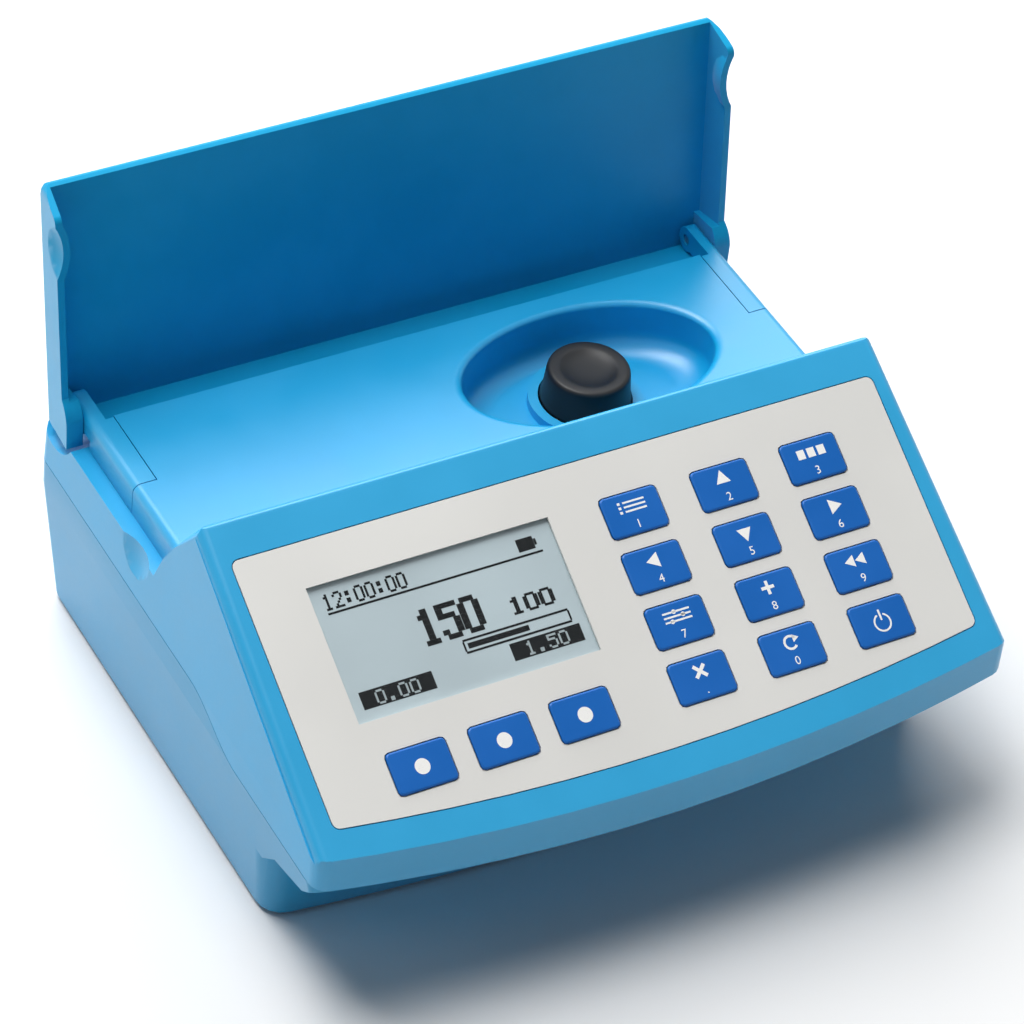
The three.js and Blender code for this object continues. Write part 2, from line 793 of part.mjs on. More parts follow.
function upperShell() {
  const outside = upperBlock(0).intersect(solid(prismX(outline([
    ...sideCorners.slice(0, 4),
    [...sideCorners[4], ridgeRadius],
    sideCorners[5],
  ]), -caseWidth, caseWidth)));
  const insideCorners = insetCorners(sideCorners, [0, 0, wall, wall, panelWall, 0]);
  let hollow = upperBlock(wall).intersect(solid(prismX(outline(insideCorners), -caseWidth, caseWidth)));
  const seat = [deckHalf - bracketWidth - wall, deckHalf];
  const seatRun = [bracketFront - wall, pinBehindRidge];
  const seatRise = [ledgeHeight - wall, deckHeight];
  const dentMiddle = halfWidth * draftAt(ledgeHeight);
  const backing = solid(dentSphere(dentRadius + wall, dentMiddle, dentBehindRidge, ledgeHeight));
  hollow = cutBy(
    hollow,
    solid(ledgeWall(1)),
    solid(ledgeWall(-1)),
    solid(rodX(troughRadius + wall, -caseWidth, caseWidth, pinBehindRidge, pinHeight, largeRound)),
    wellShape(wall, false),
    solid(block(seat, seatRun, seatRise)),
    solid(block([-seat[1], -seat[0]], seatRun, seatRise)),
    backing,
    mirrored(backing),
  );
  const dent = solid(dentSphere(dentRadius, dentMiddle, dentBehindRidge, ledgeHeight));
  const edge = roundedPanelEdge();
  const notch = bracketNotch();
  let shell = cutBy(
    outside,
    hollow,
    edge,
    mirrored(edge),
    ridgeCorner(),
    mirrored(ridgeCorner()),
    deckEdge(),
    mirrored(deckEdge()),
    solid(ledgeCut(1)),
    solid(ledgeCut(-1)),
    solid(rodX(troughRadius, -caseWidth, caseWidth, pinBehindRidge, pinHeight, largeRound)),
    wellShape(0, true),
    dent,
    mirrored(dent),
    notch,
    mirrored(notch),
    solid(belowParting(archRear, 0)),
    solid(frontArch()),
  );
  shell = joined(shell, collar(), ...screwBosses(), ...boardPosts());
  return cutBy(
    shell,
    solid(rodZ(boreRadius, wellFloor - overrun, deckHeight, wellX, wellBehindRidge, largeRound)),
    solid(prismZ(overlayOutline(clearance), -overlayStep, overrun).applyMatrix4(panelFrame)),
    solid(prismZ(sheetOutline(clearance), -sheetPocketDepth, overrun).applyMatrix4(panelFrame)),
    solid(prismZ(windowOutline(displayFrame + clearance), -overrun, overrun).applyMatrix4(panelFrame)),
    ...screwPlaces().map(([x, y]) => solid(rodZ(
      screwRadius + clearance,
      columnTop,
      screwSeat + columnTop + screwGrip,
      x,
      y,
      smallRound,
    ))),
    ...boardPostPlaces().map(([x, down]) => solid(rodZ(
      smallScrewRadius + clearance,
      -boardSink - overrun,
      smallScrewGrip - boardSink,
      x,
      -down,
      smallRound,
    ).applyMatrix4(panelFrame))),
  );
}

function collar() {
  return solid(rodZ(
    boreRadius + collarWidth,
    wellFloor - wall / 2,
    wellFloor + collarHeight,
    wellX,
    wellBehindRidge,
    largeRound,
  ));
}

// Case screws stand in columns of the lower shell and bite into bosses of the upper one.

function screwPlaces() {
  return cornerSigns.map(([across, along]) => [across * screwX, along > 0 ? rearScrewY : frontScrewY]);
}

function bossTop(y) {
  return y > rampFoot ? ledgeHeight - wall / 2 : ridgeHeight + y * Math.tan(panelSlope) - panelWall;
}

function screwBosses() {
  return screwPlaces().map(([x, y]) => solid(rodZ(bossRadius, columnTop + clearance, bossTop(y), x, y)));
}

function caseScrew() {
  return solids(
    rodZ(screwHeadRadius, screwSeat - clearance - screwHead, screwSeat - clearance, 0, 0, smallRound),
    rodZ(screwRadius, screwSeat - clearance - screwHead / 2, columnTop + screwGrip, 0, 0, smallRound),
  );
}

// The main board hangs from posts under the panel.

function boardPostPlaces() {
  return cornerSigns.map(([across, along]) => [
    across * boardPostX,
    along > 0 ? boardPostTop : boardPostBottom,
  ]);
}

function boardPosts() {
  return boardPostPlaces().map(([x, down]) => solid(
    rodZ(boardPostRadius, clearance - boardSink, -panelWall / 2, x, -down, smallRound)
      .applyMatrix4(panelFrame),
  ));
}

// The lower shell: a tub with a drafted wall, and the chin that reaches forward under the panel.

function tub(inset, floor) {
  const plan = planOutline(baseFront, inset, baseCornerRadius);
  const drafted = prismZ(plan, floor, sideParting);
  shaped(drafted, (point) => {
    const share = draftAt(point.z);
    point.set(point.x * share, point.y * share, point.z);
  });
  return solids(drafted, prismZ(plan, sideParting, rearParting + (inset ? overrun : 0)));
}

const chinProfileShares = [
  { reach: 0.72, rise: 0.52 },
  { reach: 0.81, rise: 0.73 },
];

function chinCorners() {
  const knees = chinProfileShares.map(({ reach, rise }) => [
    -chinReach * reach,
    THREE.MathUtils.lerp(chinRootHeight, chinKneeHeight, rise),
  ]);
  return [
    [baseFront + overrun, sideParting - clearance],
    [-chinReach, sideParting - clearance],
    [-chinReach, chinLipHeight],
    [-chinReach * chinKneeShare, chinKneeHeight],
    ...knees.reverse(),
    [baseFront + overrun / 4, chinRootHeight - wall],
    [baseFront + overrun, chinRootHeight - wall],
  ];
}

function chin(corners, inset) {
  const side = halfWidth - inset;
  const profile = new THREE.ExtrudeGeometry(outline(corners), {
    depth: 2 * side,
    steps: 2 * arcSteps,
    bevelEnabled: false,
  });
  profile.translate(0, 0, -side).applyMatrix4(acrossX);
  return solid(shaped(profile, (point) => {
    const sag = frontSag(point);
    const bow = bowAt(point.x) - (inset ? bowAt(side) : 0);
    point.set(point.x * draftAt(point.z), point.y - bow, point.z - sag);
  }));
}

function lowerShell() {
  const corners = chinCorners();
  const insideCorners = insetCorners(corners, [-overrun, wall, wall, wall, wall, wall, wall, -overrun]);
  const outer = joined(
    tub(0, 0).intersect(solid(belowParting(panelFrontMiddle, clearance))),
    chin(corners, 0).intersect(lowerFront()),
  );
  let shell = cutBy(outer, tub(wall, floorTop), chin(insideCorners, wall));
  shell = joined(
    shell,
    ...screwPlaces().map(([x, y]) => solid(rodZ(columnRadius, floorTop / 2, columnTop, x, y))),
    ...socketPostPlaces().map(([x, y]) => solid(
      rodZ(socketPostRadius, floorTop / 2, socketBoardHeight - clearance, x, y, smallRound),
    )),
  );
  return cutBy(
    shell,
    ...screwPlaces().flatMap(([x, y]) => [
      solid(rodZ(screwHeadRadius + clearance, -overrun, screwSeat, x, y)),
      solid(rodZ(screwRadius + clearance, 0, columnTop + overrun, x, y, smallRound)),
    ]),
    ...footPlaces().map(([, x, y]) => solid(rodZ(footRadius + clearance, -overrun, footSink, x, y))),
    ...socketOpenings(),
  );
}

// The plan that keeps the chin a little behind the front wall of the upper shell.
function lowerFront() {
  const plan = planOutline(-chinReach, 0, frontCornerRadius);
  return solid(prismZ(plan, 0, rearParting));
}

function footPlaces() {
  return cornerSigns.map(([across, along]) => [
    `foot_${along > 0 ? "rear" : "front"}_${across > 0 ? "right" : "left"}`,
    across * footX,
    along > 0 ? rearFootY : frontFootY,
  ]);
}

function foot() {
  const top = footSink - clearance;
  return rodZ(footRadius, top - footHeight, top, 0, 0);
}

// Sockets at the back

const sockets = [
  { name: "usb_socket", x: usbX, width: usbWidth, height: usbHeight },
  { name: "power_socket", x: powerX, width: powerWidth, height: powerHeight },
];
const socketFoot = socketBoardHeight + boardThickness + clearance;
const socketFace = caseRear * draftAt(socketFoot) - socketFaceSink;

function socketPostPlaces() {
  const y = (socketBoardFront + socketFront) / 2;
  return [
    [socketBoardLeft + 2 * socketPostRadius, y],
    [socketBoardRight - 2 * socketPostRadius, y],
  ];
}

function socketOpenings() {
  const openings = sockets.map(({ x, width, height }) => block(
    [x - width / 2 - clearance, x + width / 2 + clearance],
    [caseRear - overrun, caseRear + overrun],
    [socketFoot - clearance, socketFoot + height + clearance],
  ));
  openings.push(rodY(
    probeNoseRadius + clearance,
    caseRear - overrun,
    caseRear + overrun,
    probeX,
    socketFoot + probeBody / 2,
    smallRound,
  ));
  return openings.map(solid);
}

function socketShell({ x, width, height }) {
  const across = [x - width / 2, x + width / 2];
  const body = solid(block(across, [socketFront, socketFace], [socketFoot, socketFoot + height]));
  const skin = height * socketSkinShare;
  const mouth = solid(block(
    [x - width / 2 + skin, x + width / 2 - skin],
    [socketFront + width / 2, socketFace + overrun],
    [socketFoot + skin, socketFoot + height - skin],
  ));
  return body.subtract(mouth);
}

function probeJack() {
  const middle = socketFoot + probeBody / 2;
  const across = [probeX - probeBody / 2, probeX + probeBody / 2];
  const neck = caseRear * draftAt(socketFoot) - wall - 2 * clearance;
  return cutBy(
    solids(
      block(across, [socketFront, neck], [socketFoot, socketFoot + probeBody]),
      rodY(probeNoseRadius, neck - wall, socketFace, probeX, middle, smallRound),
    ),
    solid(
      rodY(probeHoleRadius, socketFront + probeBody / 2, socketFace + overrun, probeX, middle, smallRound),
    ),
  );
}

// Optical block, with a beam channel through it for the lamp on the left and the detector on the right

function opticalBlock() {
  const half = blockSize / 2;
  const plan = rectangle(
    wellX - half,
    wellX + half,
    wellBehindRidge - half,
    wellBehindRidge + half,
    blockCornerRadius,
  );
  return cutBy(
    solid(prismZ(plan, floorTop + clearance, blockTop)),
    solid(rodZ(boreRadius, cuvetteFoot - clearance, blockTop + overrun, wellX, wellBehindRidge, largeRound)),
    solid(rodX(beamRadius, wellX - blockSize, wellX + blockSize, wellBehindRidge, beamHeight, smallRound)),
  );
}

function opticBoard(side) {
  const face = wellX + side * (blockSize / 2 + clearance);
  const board = [face, face + side * boardThickness].sort((a, b) => a - b);
  const lamp = [face - side * lampLength, face + side * boardThickness].sort((a, b) => a - b);
  return solids(
    block(
      board,
      [wellBehindRidge - opticBoardWidth / 2, wellBehindRidge + opticBoardWidth / 2],
      [beamHeight - opticBoardHeight / 2, beamHeight + opticBoardHeight / 2],
    ),
    rodX(lampRadius, ...lamp, wellBehindRidge, beamHeight, smallRound),
  );
}

function opticDisc(side) {
  const outer = wellX + side * (blockSize / 2 - opticDepth - opticThickness / 2);
  const ends = [outer, outer - side * opticThickness].sort((a, b) => a - b);
  return rodX(beamRadius - clearance, ...ends, wellBehindRidge, beamHeight, smallRound);
}

// Cuvette and cap, turned about the middle of the well

function cuvette() {
  const inner = cuvetteRadius - cuvetteWall;
  const neckInner = neckRadius - cuvetteWall;
  return turned([
    [0, cuvetteFoot],
    [cuvetteRadius - cuvetteWall, cuvetteFoot],
    [cuvetteRadius, cuvetteFoot + cuvetteWall],
    [cuvetteRadius, cuvetteShoulder - cuvetteWall],
    [neckRadius, cuvetteShoulder + cuvetteWall],
    [neckRadius, neckTop],
    [neckInner, neckTop],
    [neckInner, cuvetteShoulder],
    [inner, cuvetteShoulder - 2 * cuvetteWall],
    [inner, cuvetteFoot + cuvetteBase],
    [0, cuvetteFoot + cuvetteBase],
  ], mediumRound);
}

const capFlareShares = [0.08, 0.3, 0.62];

function cuvetteCap() {
  const foot = capTop - capHeight;
  const flare = capSkirtRadius - capTopRadius;
  const roof = capTop - wall;
  return turned([
    [0, roof],
    [neckRadius + clearance, roof],
    [neckRadius + clearance, foot],
    [capSkirtRadius, foot],
    ...capFlareShares.map((share) => [capSkirtRadius - flare * share ** (1 / 2), foot + share * capHeight]),
    [capTopRadius, capTop - capRim / 2],
    [capTopRadius - capRim / 2, capTop],
    [capTopRadius - capRim, capTop],
    [capTopRadius - 2 * capRim, capTop - capDish],
    [0, capTop - capDish],
  ], mediumRound);
}

// Battery, its strap and the socket board

function battery() {
  const plan = rectangle(
    batteryLeft,
    batteryLeft + batteryWidth,
    batteryFront,
    batteryFront + batteryLength,
    batteryCornerRadius,
  );
  return prismZ(plan, floorTop + clearance, floorTop + clearance + batteryHeight);
}

function batteryStrap() {
  const front = batteryFront - clearance;
  const rear = batteryFront + batteryLength + clearance;
  const foot = floorTop + clearance;
  const top = foot + batteryHeight + clearance;
  const hoop = outline([
    [front - strapFoot, foot],
    [front, foot],
    [front, top],
    [rear, top],
    [rear, foot],
    [rear + strapFoot, foot],
    [rear + strapFoot, foot + strapThickness],
    [rear + strapThickness, foot + strapThickness],
    [rear + strapThickness, top + strapThickness],
    [front - strapThickness, top + strapThickness],
    [front - strapThickness, foot + strapThickness],
    [front - strapFoot, foot + strapThickness],
  ]);
  const middle = batteryLeft + batteryWidth / 2;
  return prismX(hoop, middle - strapWidth / 2, middle + strapWidth / 2);
}

function socketBoard() {
  return block(
    [socketBoardLeft, socketBoardRight],
    [socketBoardFront, socketBoardRear],
    [socketBoardHeight, socketBoardHeight + boardThickness],
  );
}

// Pieces that lie on the sloping panel, in the panel's own frame

function panelOverlay() {
  const shape = overlayOutline(0);
  shape.holes.push(windowOutline(0));
  keyPlaces().forEach(([, x, down]) => shape.holes.push(keyOutline(x, down, clearance)));
  return prismZ(shape, -overlayThickness, 0);
}

function keyCap() {
  const shape = keyOutline(0, 0, 0);
  const straight = keyThickness - 2 * keyBevel;
  return new THREE.ExtrudeGeometry(shape, {
    depth: straight,
    bevelEnabled: true,
    bevelThickness: keyBevel,
    bevelSize: keyBevel,
    bevelOffset: -keyBevel,
    bevelSegments: 1,
  }).translate(0, 0, keyRise - keyThickness + keyBevel);
}

function displayModule() {
  const plateTop = -panelWall - clearance;
  const screen = prismZ(windowOutline(displayFrame), plateTop - displayPlateThickness / 2, -displayTopSink);
  const plate = prismZ(windowOutline(displayPlateBorder), plateTop - displayPlateThickness, plateTop);
  return solids(screen, plate);
}

function mainBoard() {
  const shape = rectangle(-boardHalf, boardHalf, -boardBottom, -boardTop, boardPostRadius);
  const board = solid(prismZ(shape, -boardSink - boardThickness, -boardSink));
  return cutBy(
    board,
    ...boardPostPlaces().map(([x, down]) => solid(
      rodZ(smallScrewRadius + clearance, -boardSink - overrun, overrun, x, -down, smallRound),
    )),
  );
}

function boardScrew() {
  const seat = -boardSink - boardThickness - clearance;
  const tip = smallScrewGrip - boardSink - clearance;
  return solids(
    rodZ(smallScrewHeadRadius, seat - smallScrewHead, seat, 0, 0, smallRound),
    rodZ(smallScrewRadius, seat - smallScrewHead / 2, tip, 0, 0, smallRound),
  );
}

// Hinge brackets: a plate let into the deck, its side wall and the ear that holds the pin

function hingeBracket() {
  const rear = pinBehindRidge - troughRadius;
  const across = [deckHalf - bracketEarWidth, deckHalf];
  const sideRise = [ledgeHeight + clearance, deckHeight];
  const armRise = [pinHeight - bracketArmDown, pinHeight + bracketEarRadius];
  return cutBy(
    solids(
      block([deckHalf - bracketWidth, deckHalf], [bracketFront, rear], [deckHeight - wall, deckHeight]),
      block([deckHalf - bracketSideWall, deckHalf], [bracketFront, rear], sideRise),
      block(across, [rear - troughRadius, pinBehindRidge], armRise),
      rodX(bracketEarRadius, ...across, pinBehindRidge, pinHeight),
    ),
    solid(rodX(pinRadius + clearance, 0, halfWidth, pinBehindRidge, pinHeight, smallRound)),
    deckEdge(),
  );
}

const pinStart = deckHalf - bracketEarWidth + clearance;

// The lid, drawn closed with its hinge pin on the X axis

function lidProfile() {
  const earStart = -Math.sqrt(lidEarRadius ** 2 - lidBelowPin ** 2);
  const turnStart = Math.atan2(-lidBelowPin, earStart);
  const turns = Array.from({ length: arcSteps / 2 }, (_, i) =>
    THREE.MathUtils.lerp(turnStart, -Math.PI / 2, (2 * (i + 1)) / arcSteps),
  );
  return outline([
    [-lidReach, lidAbovePin, lidEdgeRadius],
    [-lidSideReach, -lidBelowPin, lidSideCornerRadius],
    [earStart, -lidBelowPin],
    ...turns.map((turn) => [lidEarRadius * Math.cos(turn), lidEarRadius * Math.sin(turn)]),
    [lidEarTipBack, -lidEarTipDown],
    [lidRear, lidAbovePin, lidEdgeRadius],
  ]);
}

function lidWidthAt(z) {
  return THREE.MathUtils.mapLinear(z, -lidBelowPin, lidAbovePin, lidEdgeWidth, lidTopWidth) / lidEdgeWidth;
}

function lid() {
  const half = lidEdgeWidth / 2;
  const tapered = (geometry) => shaped(geometry, (point) => point.setX(point.x * lidWidthAt(point.z)));
  const plan = outline([
    [half, lidRear + overrun],
    [-half, lidRear + overrun],
    [-half, -lidReach, lidCornerRadius],
    [half, -lidReach, lidCornerRadius],
  ]);
  const outer = solid(tapered(prismX(lidProfile(), -half, half)))
    .intersect(solid(tapered(prismZ(plan, -overrun, overrun))));
  const top = lidAbovePin - lidPanel;
  const inner = half - lidSideWall;
  const tray = outline([
    [-lidReach - overrun, -overrun],
    [-lidEarInner, -overrun],
    [-lidEarInner, top],
    [-lidReach - overrun, top],
  ]);
  const knuckle = outline([
    [-lidReach, -overrun],
    [lidRear - lidRearWall, -overrun],
    [lidRear - lidRearWall, top],
    [-lidReach, top],
  ]);
  const reach = deckHalf + clearance;
  const dentY = dentBehindRidge - pinBehindRidge;
  const bulge = solid(dentSphere(dentRadius + lidSideWall, half, dentY, -lidBelowPin));
  const dent = solid(dentSphere(dentRadius, half, dentY, -lidBelowPin));
  const hole = solid(rodX(pinRadius + clearance, 0, pinStart + pinLength + clearance, 0, 0, smallRound));
  const notch = solid(block([pinStart - 2 * clearance, reach], [0, overrun], [-overrun, -lidNotchDown]));
  return cutBy(
    joined(
      cutBy(
        outer,
        solid(tapered(prismX(tray, -inner, inner))),
        solid(prismX(knuckle, -reach, reach)),
      ),
      bulge.intersect(outer),
      mirrored(bulge).intersect(outer),
    ),
    dent,
    mirrored(dent),
    hole,
    mirrored(hole),
    notch,
    mirrored(notch),
  );
}

// Assembly

const machine = new THREE.Group();

machine.add(piece("upper_shell", upperShell(), "bluePlastic"));
machine.add(piece("lower_shell", lowerShell(), "baseBlue"));

const bracket = hingeBracket();
machine.add(piece("hinge_bracket_right", bracket, "bracketBlue"));
machine.add(piece("hinge_bracket_left", mirrored(bracket), "bracketBlue"));
const pin = solid(rodX(pinRadius, pinStart, pinStart + pinLength, pinBehindRidge, pinHeight, smallRound));
machine.add(piece("hinge_pin_right", pin, "steel"));
machine.add(piece("hinge_pin_left", mirrored(pin), "steel"));

const openLid = new THREE.Group();
openLid.position.set(0, pinBehindRidge, pinHeight);
openLid.rotation.x = -Math.PI / 2 - lidLean;
openLid.add(piece("lid", lid(), "lidBlue"));
machine.add(openLid);

const panel = new THREE.Group();
panel.position.set(0, 0, ridgeHeight);
panel.rotation.x = panelSlope;
panel.add(piece("panel_overlay", panelOverlay(), "overlayGrey"));
panel.add(piece("display_window", prismZ(windowOutline(-clearance), -windowFoot, -windowSink), "clearSheet"));
panel.add(piece("display_module", displayModule(), "displayGrey"));
panel.add(piece(
  "key_contact_sheet",
  prismZ(sheetOutline(0), -sheetTopSink - sheetThickness, -sheetTopSink),
  "sheetWhite",
));
panel.add(piece("main_board", mainBoard(), "boardGreen"));
for (const [name, x, down] of keyPlaces()) {
  const key = piece(name, keyCap(), "keyBlue");
  key.position.set(x, -down, 0);
  panel.add(key);
}
boardPostPlaces().forEach(([x, down], i) => {
  const screw = piece(`board_screw_${i + 1}`, boardScrew(), "steel");
  screw.position.set(x, -down, 0);
  panel.add(screw);
});
machine.add(panel);

const well = new THREE.Group();
well.position.set(wellX, wellBehindRidge, 0);
well.add(piece("cuvette", cuvette(), "glass"));
well.add(piece("cuvette_cap", cuvetteCap(), "darkCap"));
machine.add(well);

machine.add(piece("optical_block", opticalBlock(), "blackPlastic"));
machine.add(piece("lamp_board", opticBoard(-1), "boardGreen"));
machine.add(piece("detector_board", opticBoard(1), "boardGreen"));
machine.add(piece("lamp_lens", opticDisc(-1), "glass"));
machine.add(piece("detector_filter", opticDisc(1), "clearSheet"));

machine.add(piece("battery", battery(), "battery"));
machine.add(piece("battery_strap", batteryStrap(), "steel"));
machine.add(piece("socket_board", socketBoard(), "boardGreen"));
for (const socket of sockets) {
  machine.add(piece(socket.name, socketShell(socket), "steel"));
}
machine.add(piece("probe_jack", probeJack(), "blackPlastic"));

screwPlaces().forEach(([x, y], i) => {
  const screw = piece(`case_screw_${i + 1}`, caseScrew(), "steel");
  screw.position.set(x, y, 0);
  machine.add(screw);
});
for (const [name, x, y] of footPlaces()) {
  const rubberFoot = piece(name, foot(), "rubber");
  rubberFoot.position.set(x, y, 0);
  machine.add(rubberFoot);
}

// The origin is the middle of the footprint of the open machine, at the bottom of its feet.
const bounds = new THREE.Box3().setFromObject(machine, true);
const centre = bounds.getCenter(new THREE.Vector3());
machine.position.set(-centre.x, -centre.y, -bounds.min.z);

const photometer = new THREE.Group();
photometer.name = "photometer";
photometer.add(machine);

export default photometer;
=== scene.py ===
"""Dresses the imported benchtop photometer: mouldings, printed keys, display picture and studio."""

import logging
import math
from dataclasses import dataclass, field
from enum import Enum
from typing import Any, Iterable, Optional, Union

import bmesh
import bpy
from mathutils import Matrix, Vector


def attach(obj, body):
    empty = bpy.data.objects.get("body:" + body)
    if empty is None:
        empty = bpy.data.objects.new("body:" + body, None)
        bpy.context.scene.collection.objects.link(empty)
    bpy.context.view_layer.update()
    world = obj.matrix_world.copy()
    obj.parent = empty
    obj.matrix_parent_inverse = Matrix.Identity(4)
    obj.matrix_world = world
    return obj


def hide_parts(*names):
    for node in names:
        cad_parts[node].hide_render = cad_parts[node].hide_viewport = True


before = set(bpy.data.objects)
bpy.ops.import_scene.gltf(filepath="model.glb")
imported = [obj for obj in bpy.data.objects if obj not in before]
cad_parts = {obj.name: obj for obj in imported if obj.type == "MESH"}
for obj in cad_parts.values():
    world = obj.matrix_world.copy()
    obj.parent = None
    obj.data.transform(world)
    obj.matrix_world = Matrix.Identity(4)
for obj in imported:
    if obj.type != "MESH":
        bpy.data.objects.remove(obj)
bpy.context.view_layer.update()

Colour = tuple[float, float, float]
Point = tuple[float, float, float]

MM = 0.001
WELD = 0.002 * MM
LOG = logging.getLogger("photometer")


def from_screen(red: int, green: int, blue: int) -> Colour:
    """Turns a colour as a screen shows it into the linear one that a shader takes.

    Args:
        red, green, blue: the colour in steps from 0 to 255.

    Returns:
        The linear colour.
    """
    def linear(step: int) -> float:
        """The sRGB curve, which is straight for dark colours."""
        share = step / 255
        return share / 12.92 if share <= 0.04045 else ((share + 0.055) / 1.055) ** 2.4

    return linear(red), linear(green), linear(blue)


# Shader maths

Number = Union[float, "Value"]


class Value:
    """A shader socket that takes part in Python sums."""

    def __init__(self, surface: "Surface", socket: bpy.types.NodeSocket) -> None:
        """Keeps the surface that adds the nodes, and the socket."""
        self.surface = surface
        self.socket = socket

    def _sum(self, operation: str, first: Number, second: Number = 0.0) -> "Value":
        """Adds one Math node and returns its result."""
        made = self.surface.add("ShaderNodeMath", {"operation": operation}, {0: first, 1: second})
        return Value(self.surface, made.outputs[0])

    def __add__(self, other: Number) -> "Value":
        """Self plus other."""
        return self._sum("ADD", self, other)

    def __radd__(self, other: Number) -> "Value":
        """Other plus self."""
        return self._sum("ADD", other, self)

    def __sub__(self, other: Number) -> "Value":
        """Self less other."""
        return self._sum("SUBTRACT", self, other)

    def __rsub__(self, other: Number) -> "Value":
        """Other less self."""
        return self._sum("SUBTRACT", other, self)

    def __mul__(self, other: Number) -> "Value":
        """Self times other."""
        return self._sum("MULTIPLY", self, other)

    def __rmul__(self, other: Number) -> "Value":
        """Other times self."""
        return self._sum("MULTIPLY", other, self)

    def zigzag(self, height: float) -> "Value":
        """Self folded up and down between 0 and a height."""
        return self._sum("PINGPONG", self, height)

    def smooth(self, low: float, high: float) -> "Value":
        """A soft step from 0 at low to 1 at high.

        Args:
            low: where the step starts.
            high: where it has reached 1.

        Returns:
            The step as a value.
        """
        made = self.surface.add(
            "ShaderNodeMapRange",
            {"interpolation_type": "SMOOTHSTEP"},
            {"Value": self, "From Min": low, "From Max": high, "To Min": 0.0, "To Max": 1.0},
        )
        return Value(self.surface, made.outputs[0])


class Surface:
    """One material and the nodes that make it."""

    def __init__(self, name: str) -> None:
        """Starts a material with a Principled shader and its output."""
        self.material = bpy.data.materials.new(name)
        self.material.use_nodes = True
        self.tree = self.material.node_tree
        self.tree.nodes.clear()
        self.shader = self.add("ShaderNodeBsdfPrincipled", {}, {})
        self.add("ShaderNodeOutputMaterial", {}, {"Surface": self.shader.outputs[0]})
        self.place = Value(self, self.add("ShaderNodeTexCoord", {}, {}).outputs["Object"])

    def _feed(self, socket: bpy.types.NodeSocket, given: Any) -> None:
        """Links a value or another socket to a socket, or writes a constant into it.

        Args:
            socket: the input socket.
            given: a value, a socket, a colour or a number.
        """
        if isinstance(given, Value):
            given = given.socket
        if isinstance(given, bpy.types.NodeSocket):
            self.tree.links.new(given, socket)
        else:
            socket.default_value = (*given, 1.0) if socket.type == "RGBA" else given

    def add(self, kind: str, settings: dict[str, Any], sockets: dict[Any, Any]) -> bpy.types.Node:
        """Adds any node.

        Args:
            kind: the node's type.
            settings: its settings, set first.
            sockets: values or links for its input sockets, by name or number.

        Returns:
            The new node.
        """
        made = self.tree.nodes.new(kind)
        for key, setting in settings.items():
            setattr(made, key, setting)
        for key, given in sockets.items():
            self._feed(made.inputs[key], given)
        return made

    def set(self, **sockets: Any) -> None:
        """Sets or links sockets of the shader, named with underscores for spaces."""
        for key, given in sockets.items():
            self._feed(self.shader.inputs[key.replace("_", " ")], given)

    def stretched(
        self, scale: Point, turn: Point = (0.0, 0.0, 0.0), shift: Point = (0.0, 0.0, 0.0)
    ) -> Value:
        """The place on the piece, scaled, turned and shifted for a pattern."""
        made = self.add(
            "ShaderNodeMapping",
            {"vector_type": "POINT"},
            {"Vector": self.place, "Scale": scale, "Rotation": turn, "Location": shift},
        )
        return Value(self, made.outputs[0])

    def noise(
        self, spot: float, detail: float = 2.0, rough: float = 0.5, where: Optional[Value] = None
    ) -> Value:
        """Cloudy noise from 0 to 1.

        Args:
            spot: metres across one spot.
            detail: how many finer layers it has.
            rough: how strong the finer layers are.
            where: the place to read, if not the piece's own.

        Returns:
            The noise as a value.
        """
        made = self.add(
            "ShaderNodeTexNoise",
            {},
            {
                "Vector": where or self.place,
                "Scale": 1 / spot,
                "Detail": detail,
                "Roughness": rough,
            },
        )
        return Value(self, made.outputs[0])

    def cells(self, spot: float) -> Value:
        """Distance to the nearest of many scattered points, for a sparked mould's grain."""
        made = self.add(
            "ShaderNodeTexVoronoi",
            {"feature": "SMOOTH_F1"},
            {"Vector": self.place, "Scale": 1 / spot},
        )
        return Value(self, made.outputs["Distance"])

    def axis(self, letter: str) -> Value:
        """One coordinate of the place on the piece, in metres."""
        made = self.add("ShaderNodeSeparateXYZ", {}, {"Vector": self.place})
        return Value(self, made.outputs[letter])

    def mixed(
        self, share: Number, first: Union[Colour, Value], second: Union[Colour, Value]
    ) -> Value:
        """Mixes two colours.

        Args:
            share: how much of the second shows, from 0 to 1.
            first: the first colour.
            second: the second colour.

        Returns:
            The mixed colour.
        """
        made = self.add("ShaderNodeMix", {"data_type": "RGBA"}, {0: share, 6: first, 7: second})
        return Value(self, made.outputs[2])

    def bump(self, height: Value, depth: float, strength: float = 1.0) -> Value:
        """Turns a height into a normal.

        Args:
            height: the height, from 0 to 1.
            depth: metres from the lowest to the highest point.
            strength: how strongly it shows.

        Returns:
            The normal.
        """
        made = self.add(
            "ShaderNodeBump", {}, {"Height": height, "Distance": depth, "Strength": strength}
        )
        return Value(self, made.outputs[0])


# Finishes


@dataclass(frozen=True)
class Finish:
    """What a surface is made of. Each kind of finish says how it is painted."""

    name: str

    def paint(self, surface: Surface) -> None:
        """Sets up the surface's shader."""
        raise NotImplementedError

    def material(self) -> bpy.types.Material:
        """The finished material, made once for each name."""
        ready = bpy.data.materials.get(self.name)
        if ready:
            return ready
        surface = Surface(self.name)
        self.paint(surface)
        return surface.material


